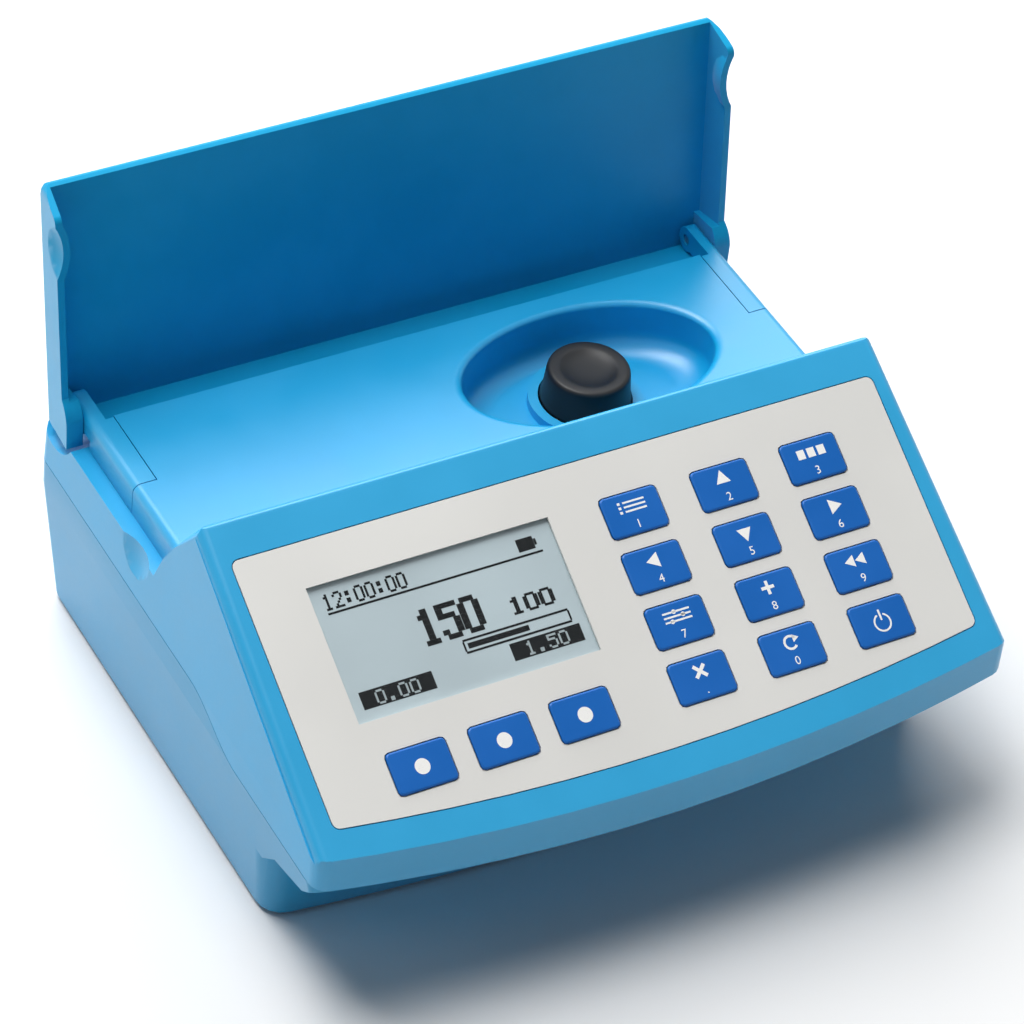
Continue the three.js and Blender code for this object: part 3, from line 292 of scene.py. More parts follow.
@dataclass(frozen=True)
class MouldedPlastic(Finish):
    """Plastic from a finely sparked mould, with a little handling polish and cloudiness."""

    colour: Colour = (0.5, 0.5, 0.5)
    roughness: float = 0.42
    grain: float = 0.45 * MM
    grain_depth: float = 0.012 * MM
    cloud: float = 0.025
    specular: float = 0.5
    sheen: float = 0.0

    def paint(self, surface: Surface) -> None:
        """Grain in the normal, clouds and fine specks in the colour, rubs in the roughness."""
        clouds = surface.noise(34 * MM, detail=3.0, rough=0.55)
        specks = surface.noise(0.7 * MM, detail=1.0, rough=0.6)
        darker = tuple(part * (1 - self.cloud) for part in self.colour)
        paler = tuple(min(1.0, part * (1 + self.cloud) + 0.006) for part in self.colour)
        tone = surface.mixed(clouds.smooth(0.32, 0.68), darker, paler)
        tone = surface.mixed(specks.smooth(0.55, 0.85) * 0.12, tone, paler)
        strokes = surface.stretched((90.0, 900.0, 500.0), (0.3, 0.2, 0.5))
        rubs = surface.noise(1.0, detail=4.0, rough=0.6, where=strokes)
        patches = surface.noise(17 * MM, detail=2.0)
        fine = surface.cells(self.grain)
        coarse = surface.noise(self.grain * 2.6, detail=2.0)
        height = fine * 0.65 + coarse * 0.35
        surface.set(
            Base_Color=tone,
            Roughness=self.roughness + (patches - 0.5) * 0.1 + (rubs - 0.5) * 0.06 - fine * 0.03,
            Normal=surface.bump(height, self.grain_depth),
            Specular_IOR_Level=self.specular,
            Sheen_Weight=self.sheen,
            Sheen_Roughness=0.4,
        )


@dataclass(frozen=True)
class PrintedFilm(Finish):
    """Polyester film with a fine stipple, printed on its back."""

    colour: Colour = (0.7, 0.7, 0.7)

    def paint(self, surface: Surface) -> None:
        """A stippled, faintly uneven pale print."""
        clouds = surface.noise(60 * MM, detail=2.0)
        fibre = surface.noise(0.35 * MM, detail=2.0, rough=0.6)
        paler = tuple(min(1.0, part * 1.03) for part in self.colour)
        darker = tuple(part * 0.965 for part in self.colour)
        tone = surface.mixed(clouds.smooth(0.3, 0.7), darker, paler)
        tone = surface.mixed(fibre.smooth(0.5, 0.8) * 0.1, tone, darker)
        surface.set(
            Base_Color=tone,
            Roughness=0.5 + (fibre - 0.5) * 0.14,
            Normal=surface.bump(surface.cells(0.3 * MM), 0.006 * MM),
        )


@dataclass(frozen=True)
class Ink(Finish):
    """Screen-printed ink, slightly uneven at its edges of coverage."""

    colour: Colour = (0.9, 0.9, 0.9)
    roughness: float = 0.5
    specular: float = 0.5

    def paint(self, surface: Surface) -> None:
        """A flat print with pinholes and a faint orange peel."""
        holes = surface.noise(0.2 * MM, detail=2.0)
        thinner = tuple(part * 0.86 for part in self.colour)
        surface.set(
            Base_Color=surface.mixed(holes.smooth(0.55, 0.75), self.colour, thinner),
            Roughness=self.roughness + (holes - 0.5) * 0.1,
            Normal=surface.bump(holes, 0.003 * MM),
            Specular_IOR_Level=self.specular,
        )


@dataclass(frozen=True)
class LiquidCrystal(Finish):
    """The pale glass of a display, with its faint grid of cells."""

    colour: Colour = (0.4, 0.5, 0.5)
    column: float = 0.547 * MM
    row: float = 0.514 * MM

    def paint(self, surface: Surface) -> None:
        """Grid lines between the cells, over a faintly cloudy tone."""
        across = surface.axis("X") * (1 / self.column)
        down = surface.axis("Y") * (1 / self.row)
        lines = across.zigzag(0.5).smooth(0.0, 0.09)
        rows = down.zigzag(0.5).smooth(0.0, 0.09)
        seam = 1 - lines * rows
        cloud = surface.noise(45 * MM, detail=1.0)
        paler = tuple(min(1.0, part * 1.06) for part in self.colour)
        darker = tuple(part * 0.93 for part in self.colour)
        tone = surface.mixed(cloud.smooth(0.3, 0.7), darker, paler)
        surface.set(
            Base_Color=surface.mixed(seam * 0.1, tone, darker), Roughness=0.34 + cloud * 0.05
        )


@dataclass(frozen=True)
class ClearSheet(Finish):
    """Thin clear sheet that shows what lies behind it."""

    colour: Colour = (0.12, 0.14, 0.15)
    cover: float = 0.04

    def paint(self, surface: Surface) -> None:
        """Mostly see-through, with a hard-coat gloss and faint wipe marks."""
        strokes = surface.stretched((30.0, 420.0, 420.0), (0.0, 0.0, 0.4))
        wipes = surface.noise(1.0, detail=3.0, rough=0.6, where=strokes)
        surface.set(
            Base_Color=self.colour,
            Roughness=0.1 + wipes * 0.08,
            Alpha=self.cover + wipes * 0.02,
        )


@dataclass(frozen=True)
class Glass(Finish):
    """Polished glass."""

    colour: Colour = (0.93, 0.97, 0.98)

    def paint(self, surface: Surface) -> None:
        """Clear glass with the faint unevenness of drawn tube."""
        streaks = surface.stretched((260.0, 260.0, 30.0))
        draw = surface.noise(1.0, detail=2.0, rough=0.5, where=streaks)
        surface.set(
            Base_Color=self.colour,
            Roughness=0.02 + draw * 0.03,
            Normal=surface.bump(draw, 0.01 * MM, 0.4),
            Transmission_Weight=1.0,
            IOR=1.47,
        )


@dataclass(frozen=True)
class Metal(Finish):
    """Plated or bright metal with drawing marks along one axis."""

    colour: Colour = (0.6, 0.61, 0.62)
    roughness: float = 0.3
    marks: Point = (60.0, 4000.0, 4000.0)

    def paint(self, surface: Surface) -> None:
        """Fine marks in the roughness and normal."""
        marks = surface.noise(1.0, detail=3.0, rough=0.6, where=surface.stretched(self.marks))
        stain = surface.noise(3 * MM, detail=2.0)
        dull = tuple(part * 0.8 for part in self.colour)
        surface.set(
            Base_Color=surface.mixed(stain.smooth(0.45, 0.75) * 0.5, self.colour, dull),
            Metallic=1.0,
            Roughness=self.roughness + (marks - 0.5) * 0.2,
            Normal=surface.bump(marks, 0.004 * MM, 0.5),
        )


@dataclass(frozen=True)
class CircuitBoard(Finish):
    """Glass-fibre board under solder mask, with its weave showing faintly."""

    colour: Colour = (0.012, 0.11, 0.05)

    def paint(self, surface: Surface) -> None:
        """Weave in the colour and normal under a glossy mask."""
        made = surface.add(
            "ShaderNodeTexChecker", {}, {"Vector": surface.place, "Scale": 1 / (0.6 * MM)}
        )
        weave = Value(surface, made.outputs[1])
        cloud = surface.noise(9 * MM, detail=3.0)
        paler = tuple(part * 1.5 for part in self.colour)
        surface.set(
            Base_Color=surface.mixed(
                weave * 0.25 + cloud.smooth(0.5, 0.7) * 0.4, self.colour, paler
            ),
            Roughness=0.32 + cloud * 0.1,
            Normal=surface.bump(weave, 0.004 * MM),
        )


@dataclass(frozen=True)
class Rubber(Finish):
    """Dark moulded rubber, dusty in its pores."""

    colour: Colour = (0.02, 0.02, 0.022)
    dusty: Colour = (0.09, 0.088, 0.085)

    def paint(self, surface: Surface) -> None:
        """A matt, slightly dusty surface."""
        pores = surface.noise(0.4 * MM, detail=3.0, rough=0.6)
        dust = surface.noise(5 * MM, detail=3.0)
        surface.set(
            Base_Color=surface.mixed(dust.smooth(0.45, 0.8) * 0.4, self.colour, self.dusty),
            Roughness=0.82 + (pores - 0.5) * 0.2,
            Normal=surface.bump(pores, 0.03 * MM),
        )


class Finishes:
    """Every finish of the instrument."""

    case = MouldedPlastic("satin case blue", from_screen(0, 160, 214), 0.4, specular=0.75)
    base = MouldedPlastic("satin base blue", from_screen(2, 148, 198), specular=0.45, sheen=0.15)
    bracket = MouldedPlastic("satin bracket blue", from_screen(0, 159, 212), 0.4, specular=0.75)
    lid = MouldedPlastic("satin lid blue", from_screen(0, 159, 210), specular=0.15, sheen=0.25)
    film = PrintedFilm("stippled panel film", from_screen(226, 225, 221))
    key = MouldedPlastic(
        "embossed key blue", from_screen(0, 98, 184), 0.36,
        grain=0.3 * MM, grain_depth=0.006 * MM, cloud=0.04, specular=0.3,
    )
    key_print = Ink("white key print", from_screen(250, 249, 246))
    crystal = LiquidCrystal("pale display glass", from_screen(198, 215, 221))
    lit = Ink("dark display cells", from_screen(14, 16, 18), 0.35, specular=0.1)
    unlit = Ink("pale display cells", from_screen(176, 190, 194), 0.35)
    window = ClearSheet("clear display window")
    steel = Metal("plated steel")
    nickel = Metal("bright nickel", (0.66, 0.65, 0.62), 0.22)
    glass = Glass("drawn cuvette glass")
    lens = Glass("polished lens glass", (0.9, 0.95, 0.97))
    board = CircuitBoard("green circuit board")
    sheet = PrintedFilm("white contact film", from_screen(232, 232, 226))
    black = MouldedPlastic("black moulding", (0.012, 0.012, 0.014), 0.5, grain=0.5 * MM)
    cap = MouldedPlastic(
        "dark cap moulding", from_screen(20, 22, 25), 0.45,
        grain=0.4 * MM, grain_depth=0.01 * MM, cloud=0.12, specular=0.3,
    )
    foot = Rubber("foot rubber")
    wrap = MouldedPlastic(
        "shrunk battery wrap", from_screen(48, 70, 150), 0.3, grain=1.2 * MM, grain_depth=0.01 * MM
    )


# Making pieces


def link(name: str, mesh: bmesh.types.BMesh, finish: Finish) -> bpy.types.Object:
    """Turns a bmesh into an object of the scene, at the origin.

    Args:
        name: the piece's name.
        mesh: its shape, which is used up.
        finish: what it is made of.

    Returns:
        The new object.
    """
    data = bpy.data.meshes.new(name)
    mesh.to_mesh(data)
    mesh.free()
    data.materials.append(finish.material())
    made = bpy.data.objects.new(name, data)
    bpy.context.scene.collection.objects.link(made)
    return made


def softened(mesh: bmesh.types.BMesh, crease: float) -> None:
    """Shades a bmesh smooth, and keeps as sharp the edges that turn by more than crease degrees."""
    limit = math.radians(crease)
    for face in mesh.faces:
        face.smooth = True
    for edge in mesh.edges:
        edge.smooth = len(edge.link_faces) == 2 and edge.calc_face_angle(0.0) < limit


def fillet(piece: bpy.types.Object, width: float, crease: float) -> None:
    """Rounds the sharp edges of a piece, and evens out the shading of what lies between them.

    Args:
        piece: the piece.
        width: metres of rounding.
        crease: degrees past which an edge is rounded.
    """
    bevel = piece.modifiers.new("rounded edges", "BEVEL")
    bevel.width = width
    bevel.segments = 3
    bevel.limit_method = "ANGLE"
    bevel.angle_limit = math.radians(crease)
    bevel.use_clamp_overlap = True
    bevel.miter_outer = "MITER_ARC"
    weigh = piece.modifiers.new("even shading", "WEIGHTED_NORMAL")
    weigh.mode = "FACE_AREA"
    weigh.keep_sharp = True


def settled(piece: bpy.types.Object) -> bpy.types.Mesh:
    """A new mesh of a piece as its modifiers or its letters leave it."""
    bpy.context.view_layer.update()
    graph = bpy.context.evaluated_depsgraph_get()
    return bpy.data.meshes.new_from_object(piece.evaluated_get(graph))


def cut_off(mesh: bmesh.types.BMesh, waste: bmesh.types.BMesh) -> bmesh.types.BMesh:
    """Cuts one closed shape off another.

    Args:
        mesh: the shape that is cut, which is used up.
        waste: what is cut off, which is used up.

    Returns:
        What is left.
    """
    bmesh.ops.remove_doubles(mesh, verts=mesh.verts, dist=WELD)
    kept, gone = link("kept", mesh, Finishes.case), link("gone", waste, Finishes.case)
    cut = kept.modifiers.new("cut", "BOOLEAN")
    cut.operation = "DIFFERENCE"
    cut.solver = "EXACT"
    cut.object = gone
    left = settled(kept)
    result = bmesh.new()
    result.from_mesh(left)
    for used in (kept.data, gone.data, left):
        bpy.data.meshes.remove(used)
    return result


def moulding(
    node: str,
    name: str,
    finish: Finish,
    body: str,
    width: float = 0.35 * MM,
    crease: float = 32.0,
    waste: Optional[bmesh.types.BMesh] = None,
) -> bpy.types.Object:
    """Makes a smooth, rounded copy of a solid that stands for it.

    Args:
        node: the solid's name.
        name: the new piece's name.
        finish: what it is made of.
        body: the body it moves with.
        width: metres of edge rounding.
        crease: degrees past which an edge counts as sharp.
        waste: a shape that is cut off it.

    Returns:
        The new piece.
    """
    mesh = bmesh.new()
    mesh.from_mesh(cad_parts[node].data)
    if waste:
        mesh = cut_off(mesh, waste)
    bmesh.ops.remove_doubles(mesh, verts=mesh.verts, dist=WELD)
    bmesh.ops.dissolve_limit(
        mesh,
        angle_limit=math.radians(0.4),
        verts=mesh.verts,
        edges=mesh.edges,
        use_dissolve_boundaries=False,
    )
    softened(mesh, crease)
    piece = link(name, mesh, finish)
    fillet(piece, width, crease)
    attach(piece, body)
    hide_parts(node)
    return piece


def dress(node: str, finish: Finish) -> None:
    """Gives a solid that keeps its shape its finish."""
    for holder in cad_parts[node].material_slots:
        holder.material = finish.material()


def own_piece(
    name: str, mesh: bmesh.types.BMesh, finish: Finish, body: str
) -> bpy.types.Object:
    """Links a new piece that rides on a body and takes its finish from a slot.

    Args:
        name: the piece's name.
        mesh: its shape.
        finish: what it is made of.
        body: the body it moves with.

    Returns:
        The new piece.
    """
    piece = link(name, mesh, finish)
    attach(piece, body)
    return piece


# The sloping panel


def middle(node: str) -> Vector:
    """The middle of a solid's box, from which other places are measured."""
    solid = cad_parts[node]
    corners = [solid.matrix_world @ Vector(corner) for corner in solid.bound_box]
    return sum(corners, Vector()) / len(corners)


WELL = middle("cuvette_cap")


@dataclass(frozen=True)
class PanelPlane:
    """Where the control panel lies: across, down from its ridge, and out from its face."""

    slope: float = math.radians(29.3)
    ridge: Point = (0.0, WELL.y - 40.9 * MM, 97.0 * MM)

    def at(self, across: float, down: float, out: float = 0.0) -> Matrix:
        """The place of something flat on the panel, with X across and Y up the panel.

        Args:
            across: millimetres to the right of the middle.
            down: millimetres down the panel from the ridge.
            out: millimetres out from the panel's face.

        Returns:
            The matrix that puts it there.
        """
        return (
            Matrix.Translation(self.ridge)
            @ Matrix.Rotation(self.slope, 4, "X")
            @ Matrix.Translation((across * MM, -down * MM, out * MM))
        )


PANEL = PanelPlane()


class Stencil:
    """Flat shapes in millimetres that are gathered into one mesh."""

    def __init__(self) -> None:
        """Starts with nothing."""
        self.mesh = bmesh.new()

    def bar(self, x: float, y: float, width: float, height: float, turn: float = 0.0) -> None:
        """A bar about its middle.

        Args:
            x, y: its middle.
            width, height: its sides.
            turn: degrees anticlockwise.
        """
        place = (
            Matrix.Translation((x * MM, y * MM, 0.0))
            @ Matrix.Rotation(math.radians(turn), 4, "Z")
            @ Matrix.Diagonal((width * MM, height * MM, 1.0, 1.0))
        )
        bmesh.ops.create_grid(self.mesh, x_segments=1, y_segments=1, size=0.5, matrix=place)

    def disc(self, x: float, y: float, radius: float, sides: int, turn: float = 0.0) -> None:
        """A disc, or with three sides a triangle that points up before it is turned.

        Args:
            x, y: its middle.
            radius: out to its corners.
            sides: how many it has.
            turn: degrees anticlockwise.
        """
        place = (
            Matrix.Translation((x * MM, y * MM, 0.0))
            @ Matrix.Rotation(math.radians(turn), 4, "Z")
        )
        bmesh.ops.create_circle(
            self.mesh, cap_ends=True, segments=sides, radius=radius * MM, matrix=place
        )

    def ring(
        self, x: float, y: float, radius: float, thick: float, start: float, sweep: float
    ) -> None:
        """An arc.

        Args:
            x, y: its middle.
            radius: to the middle of its stroke.
            thick: the stroke's width.
            start: degrees where it starts, anticlockwise from the right.
            sweep: degrees that it goes on for.
        """
        turn = math.radians(start)
        ends = [
            self.mesh.verts.new((
                (x + reach * math.cos(turn)) * MM,
                (y + reach * math.sin(turn)) * MM,
                0.0,
            ))
            for reach in (radius - thick / 2, radius + thick / 2)
        ]
        stroke = self.mesh.edges.new(ends)
        bmesh.ops.spin(
            self.mesh,
            geom=[*ends, stroke],
            cent=(x * MM, y * MM, 0.0),
            axis=(0.0, 0.0, 1.0),
            angle=math.radians(sweep),
            steps=40,
            use_merge=False,
        )

    def digits(self, text: str, x: float, y: float, height: float) -> None:
        """Plain digits about a middle.

        Args:
            text: the digits.
            x, y: the middle of the line.
            height: a digit's height.
        """
        curve = bpy.data.curves.new("digits", "FONT")
        curve.body = text
        curve.size = height * MM / 0.7
        curve.align_x = "CENTER"
        curve.align_y = "CENTER"
        curve.resolution_u = 4
        holder = bpy.data.objects.new("digits", curve)
        bpy.context.scene.collection.objects.link(holder)
        flat = settled(holder)
        flat.transform(Matrix.Translation((x * MM, y * MM, 0.0)))
        self.mesh.from_mesh(flat)
        bpy.data.objects.remove(holder)
        bpy.data.meshes.remove(flat)
        bpy.data.curves.remove(curve)

    def laid(self, place: Matrix, thick: float = 0.03) -> bmesh.types.BMesh:
        """Puts the shapes in their place and gives them thickness.

        Args:
            place: the matrix of the place.
            thick: millimetres of thickness, below the place.

        Returns:
            The finished mesh.
        """
        bmesh.ops.remove_doubles(self.mesh, verts=self.mesh.verts, dist=0.0005 * MM)
        for face in self.mesh.faces:
            if face.normal.z < 0:
                face.normal_flip()
        bmesh.ops.solidify(self.mesh, geom=self.mesh.faces, thickness=thick * MM)
        self.mesh.transform(place)
        return self.mesh


class Mark(Enum):
    """What is printed on a key."""

    UP = "up"
    DOWN = "down"
    LEFT = "left"
    RIGHT = "right"
    DOT = "dot"
    POWER = "power"
    LIST = "list"
    FRAMES = "frames"
    SLIDERS = "sliders"
    PLUS = "plus"
    BACK = "back"
    CROSS = "cross"
    LOOP = "loop"


RISE = 1.9
LEVELS = (RISE - 1.25, RISE, RISE + 1.25)
TRIANGLE = 3

# The strokes of each mark in millimetres and degrees, as Stencil's methods take them.
STROKES: dict[Mark, tuple[tuple[Any, ...], ...]] = {
    Mark.UP: (("disc", 0, RISE, 2.45, TRIANGLE, 0),),
    Mark.DOWN: (("disc", 0, RISE, 2.45, TRIANGLE, 180),),
    Mark.LEFT: (("disc", 0, RISE, 2.45, TRIANGLE, 90),),
    Mark.RIGHT: (("disc", 0, RISE, 2.45, TRIANGLE, -90),),
    Mark.DOT: (("disc", 0, 0, 2.1, 48),),
    Mark.POWER: (("ring", 0, -0.4, 2.35, 0.5, 112, 316), ("bar", 0, 1.75, 0.55, 3.0)),
    Mark.LIST: tuple(
        stroke
        for level in LEVELS
        for stroke in (("bar", 0.8, level, 6.4, 0.5), ("bar", -3.6, level, 0.8, 0.7))
    ),
    Mark.SLIDERS: tuple(
        stroke
        for level, knob in zip(LEVELS, (-1.9, 1.7, -0.6))
        for stroke in (("bar", 0, level, 8.0, 0.5), ("disc", knob, level, 0.62, 20))
    ),
    Mark.FRAMES: tuple(("bar", across, RISE, 2.3, 2.6) for across in (-3.1, 0.0, 3.1)),
    Mark.PLUS: (
        ("bar", 0, RISE, 3.8, 0.9),
        ("bar", 0, RISE + 1.175, 0.9, 1.45),
        ("bar", 0, RISE - 1.175, 0.9, 1.45),
    ),
    Mark.BACK: tuple(("disc", across, RISE, 1.95, TRIANGLE, 90) for across in (-1.7, 1.5)),
    Mark.CROSS: (
        ("bar", 0, RISE, 4.6, 1.0, 45),
        ("bar", 0.99, RISE - 0.99, 1.8, 1.0, -45),
        ("bar", -0.99, RISE + 0.99, 1.8, 1.0, -45),
    ),
    Mark.LOOP: (
        ("ring", 0, RISE, 1.75, 0.65, 30, 290),
        ("disc", 1.55, RISE + 0.9, 1.25, TRIANGLE, 30),
    ),
}


@dataclass
class KeyPrint:
    """The white print on one key: a large mark above and a small digit below."""

    mark: Mark
    digit: str = ""
    digit_drop: float = 3.3
    digit_height: float = 2.3

    def draw(self, stencil: Stencil) -> None:
        """Draws the mark and the digit.

        Args:
            stencil: where they are drawn.
        """
        tools = {"bar": stencil.bar, "disc": stencil.disc, "ring": stencil.ring}
        for tool, *numbers in STROKES[self.mark]:
            tools[tool](*numbers)
        if self.digit:
            stencil.digits(self.digit, 0, -self.digit_drop, self.digit_height)


@dataclass
class ControlPanel:
    """The panel's film, and its keys with their prints."""

    plane: PanelPlane = PANEL
    key_rise: float = 0.5
    print_rise: float = 0.02
    key_edge: float = 0.3 * MM
    first_across: float = 14.5
    pitch_across: float = 27.45
    first_down: float = 28.7
    pitch_down: float = 15.8
    soft_first: float = -67.4
    soft_pitch: float = 23.5
    soft_down: float = 76.0
    prints: tuple[tuple[Mark, str], ...] = (
        (Mark.LIST, "1"), (Mark.UP, "2"), (Mark.FRAMES, "3"),
        (Mark.LEFT, "4"), (Mark.DOWN, "5"), (Mark.RIGHT, "6"),
        (Mark.SLIDERS, "7"), (Mark.PLUS, "8"), (Mark.BACK, "9"),
        (Mark.CROSS, "."), (Mark.LOOP, "0"), (Mark.POWER, ""),
    )

    def _key(self, name: str, across: float, down: float, mark: Mark, digit: str) -> None:
        """Makes one key and its print.

        Args:
            name: the key's node.
            across, down: its middle on the panel.
            mark: its large mark.
            digit: its small digit.
        """
        moulding(name, f"{name}_embossed", Finishes.key, name, self.key_edge)
        stencil = Stencil()
        KeyPrint(mark, digit).draw(stencil)
        own_piece(
            f"{name}_print",
            stencil.laid(self.plane.at(across, down, self.key_rise + self.print_rise)),
            Finishes.key_print,
            name,
        )

    def build(self) -> None:
        """Makes the panel's pieces."""
        dress("panel_overlay", Finishes.film)
        columns = ("left", "middle", "right")
        for number, (mark, digit) in enumerate(self.prints):
            row, column = divmod(number, len(columns))
            self._key(
                f"key_row{row + 1}_{columns[column]}",
                self.first_across + column * self.pitch_across,
                self.first_down + row * self.pitch_down,
                mark,
                digit,
            )
        for place, column in enumerate(columns):
            across = self.soft_first + place * self.soft_pitch
            self._key(f"soft_key_{column}", across, self.soft_down, Mark.DOT, "")
        LOG.info("panel: film and %d keys", len(self.prints) + len(columns))


# A block of display cells: its left column, top row, and how many it takes across and down.
Block = tuple[float, float, float, float]


@dataclass
class DisplayPicture:
    """What the display shows: plain figures, a battery, a gauge and two labels of its soft keys."""

    left: float = -79.05
    right: float = -9.03
    top: float = 23.2
    bottom: float = 60.9
    columns: int = 128
    rows: int = 64
    depth: float = -1.22
    font: dict[str, str] = field(default_factory=lambda: {
        "0": "0e11111111110e", "1": "040c040404040e", "2": "0e11010204081f", "3": "1f02040201110e",
        "4": "02060a121f0202", "5": "1f101e0101110e", "6": "0608101e11110e", "7": "1f010204080808",
        "8": "0e11110e11110e", "9": "0e11110f01020c", ":": "000c0c000c0c00", ".": "00000000000c0c",
    })

    figure_rows: int = 7
    figure_dots: int = 5
    figure_pitch: int = 6
    fill: float = 0.985
    dark_figures: tuple[tuple[Any, ...], ...] = (
        ("12:00:00", 6, 4.4, 0.92, 1.08, 1.3),
        ("150", 45.5, 23.0, 1.9, 2.4, 1.9),
        ("100", 93, 29.6, 1.35, 1.15, 1.7),
    )
    pale_figures: tuple[tuple[Any, ...], ...] = (
        ("0.00", 13.5, 51.3, 1, 0.92),
        ("1.50", 93, 50.2, 1, 0.92),
    )
    rule: Block = (5.8, 12.9, 115.4, 1)
    battery: tuple[Block, ...] = ((108.5, 5.5, 9, 6), (117.5, 7, 1.3, 3))
    gauge_frame: Block = (64, 41.4, 57, 6.6)
    gauge_bar: Block = (66, 43.4, 33, 2.6)
    labels: tuple[Block, ...] = ((5.8, 50.2, 38.6, 8.2), (85.5, 49.2, 38.2, 8.2))

    def _cell(self, stencil: Stencil, column: float, row: float, wide: float, high: float) -> None:
        """Fills a block of cells, given from the picture's top left."""
        width = (self.right - self.left) / self.columns
        height = (self.bottom - self.top) / self.rows
        stencil.bar(
            self.left + (column + wide / 2) * width,
            -self.top - (row + high / 2) * height,
            wide * width * self.fill,
            high * height * self.fill,
        )

    def _line(
        self,
        stencil: Stencil,
        text: str,
        column: float,
        row: float,
        wide: float,
        high: float,
        bold: float = 1.0,
    ) -> None:
        """Writes figures.

        Args:
            stencil: where they are drawn.
            text: the figures.
            column, row: the first figure's top left cell.
            wide, high: how many cells each dot of a figure takes.
            bold: how many times wider a dot is drawn.
        """
        for place, figure in enumerate(text):
            packed = self.font[figure]
            for level in range(self.figure_rows):
                bits = int(packed[2 * level:2 * level + 2], 16)
                for dot in range(self.figure_dots):
                    if bits >> (self.figure_dots - 1 - dot) & 1:
                        across = column + (place * self.figure_pitch + dot) * wide
                        self._cell(stencil, across, row + level * high, wide * bold, high)

    def _boxed(self, stencil: Stencil, column: float, row: float, wide: float, high: float) -> None:
        """The outline of a box, one cell thick."""
        for level in (row, row + high - 1):
            self._cell(stencil, column, level, wide, 1)
        for side in (column, column + wide - 1):
            self._cell(stencil, side, row + 1, 1, high - 2)

    def _shown(self, name: str, stencil: Stencil, lift: float, finish: Finish) -> None:
        """Lays what a stencil holds on the display.

        Args:
            name: the piece's name.
            stencil: its shapes.
            lift: millimetres above the display's glass.
            finish: what it is made of.
        """
        mesh = stencil.laid(PANEL.at(0, 0, self.depth + lift))
        own_piece(name, mesh, finish, "case")

    def build(self) -> None:
        """Makes the display's dark cells and the pale figures on its two labels."""
        dark = Stencil()
        for figures in self.dark_figures:
            self._line(dark, *figures)
        self._boxed(dark, *self.gauge_frame)
        for block in (self.rule, *self.battery, self.gauge_bar, *self.labels):
            self._cell(dark, *block)
        self._shown("display_cells", dark, 0.0, Finishes.lit)
        pale = Stencil()
        for figures in self.pale_figures:
            self._line(pale, *figures)
        self._shown("display_label_figures", pale, 0.03, Finishes.unlit)
        LOG.info("display picture")


@dataclass
class Case:
    """The two shells, the hinge brackets with their pins, feet, screws and sockets.

    The ridge's ends are rounded by a cut across the panel. It reaches from below to above the
    panel's face, in millimetres, and its radius grows on the way from next to nothing.
    """

    edge: float = 0.4 * MM
    pin_edge: float = 0.15 * MM
    foot_edge: float = 0.3 * MM
    ridge_half: float = 100.75
    corner_reach: tuple[float, float] = (-20.0, 4.0)
    corner_radii: tuple[float, float] = (0.02, 4.2)
    side_draft: float = 0.05
    ramp_lean: float = 0.065
    steps: int = 8

    def _ridge_ends(self) -> bmesh.types.BMesh:
        """What is cut off the ridge's ends, so that the panel's corners die out down the ramp."""
        mesh = bmesh.new()
        arc = [math.radians(90 * step / self.steps) for step in range(self.steps + 1)]
        corner = self.corner_radii[-1]
        past = self.ridge_half + corner
        for side in (-1, 1):
            rings = []
            for out, radius in zip(self.corner_reach, self.corner_radii):
                inner = self.ridge_half - radius
                edge = [
                    (inner + radius * math.sin(turn), radius * (math.cos(turn) - 1)) for turn in arc
                ]
                edge += [(past, -radius), (past, corner), (inner, corner)]
                rings.append([
                    mesh.verts.new((
                        side * (across - out * self.side_draft) * MM,
                        (up - out * self.ramp_lean) * MM,
                        out * MM,
                    ))
                    for across, up in edge
                ])
            below, above = rings
            for place in range(len(below)):
                mesh.faces.new((below[place - 1], below[place], above[place], above[place - 1]))
            for ring in rings:
                mesh.faces.new(ring)
        bmesh.ops.recalc_face_normals(mesh, faces=mesh.faces)
        mesh.transform(PANEL.at(0, 0))
        return mesh

    def build(self) -> None:
        """Makes and dresses the case."""
        moulding(
            "upper_shell",
            "case_top",
            Finishes.case,
            "case",
            self.edge,
            waste=self._ridge_ends(),
        )
        moulding("lower_shell", "case_base", Finishes.base, "case", self.edge)
        for side in ("left", "right"):
            bracket, pin = f"hinge_bracket_{side}", f"hinge_pin_{side}"
            moulding(bracket, f"hinge_arm_{side}", Finishes.bracket, "case")
            moulding(pin, f"hinge_axle_{side}", Finishes.steel, "case", self.pin_edge)
        for place in ("front_left", "front_right", "rear_left", "rear_right"):
            foot = f"foot_{place}"
            moulding(foot, f"pad_{place}", Finishes.foot, "case", self.foot_edge)
        for number in range(1, 5):
            dress(f"case_screw_{number}", Finishes.steel)
        dress("usb_socket", Finishes.nickel)
        dress("power_socket", Finishes.nickel)
        dress("probe_jack", Finishes.black)
        LOG.info("case: shells, brackets, pins, feet, screws and sockets")


@dataclass
class LidTray:
    """The hinged lid."""

    edge: float = 0.55 * MM

    def build(self) -> None:
        """Makes the lid."""
        moulding("lid", "lid_tray", Finishes.lid, "lid", self.edge)
        LOG.info("lid")


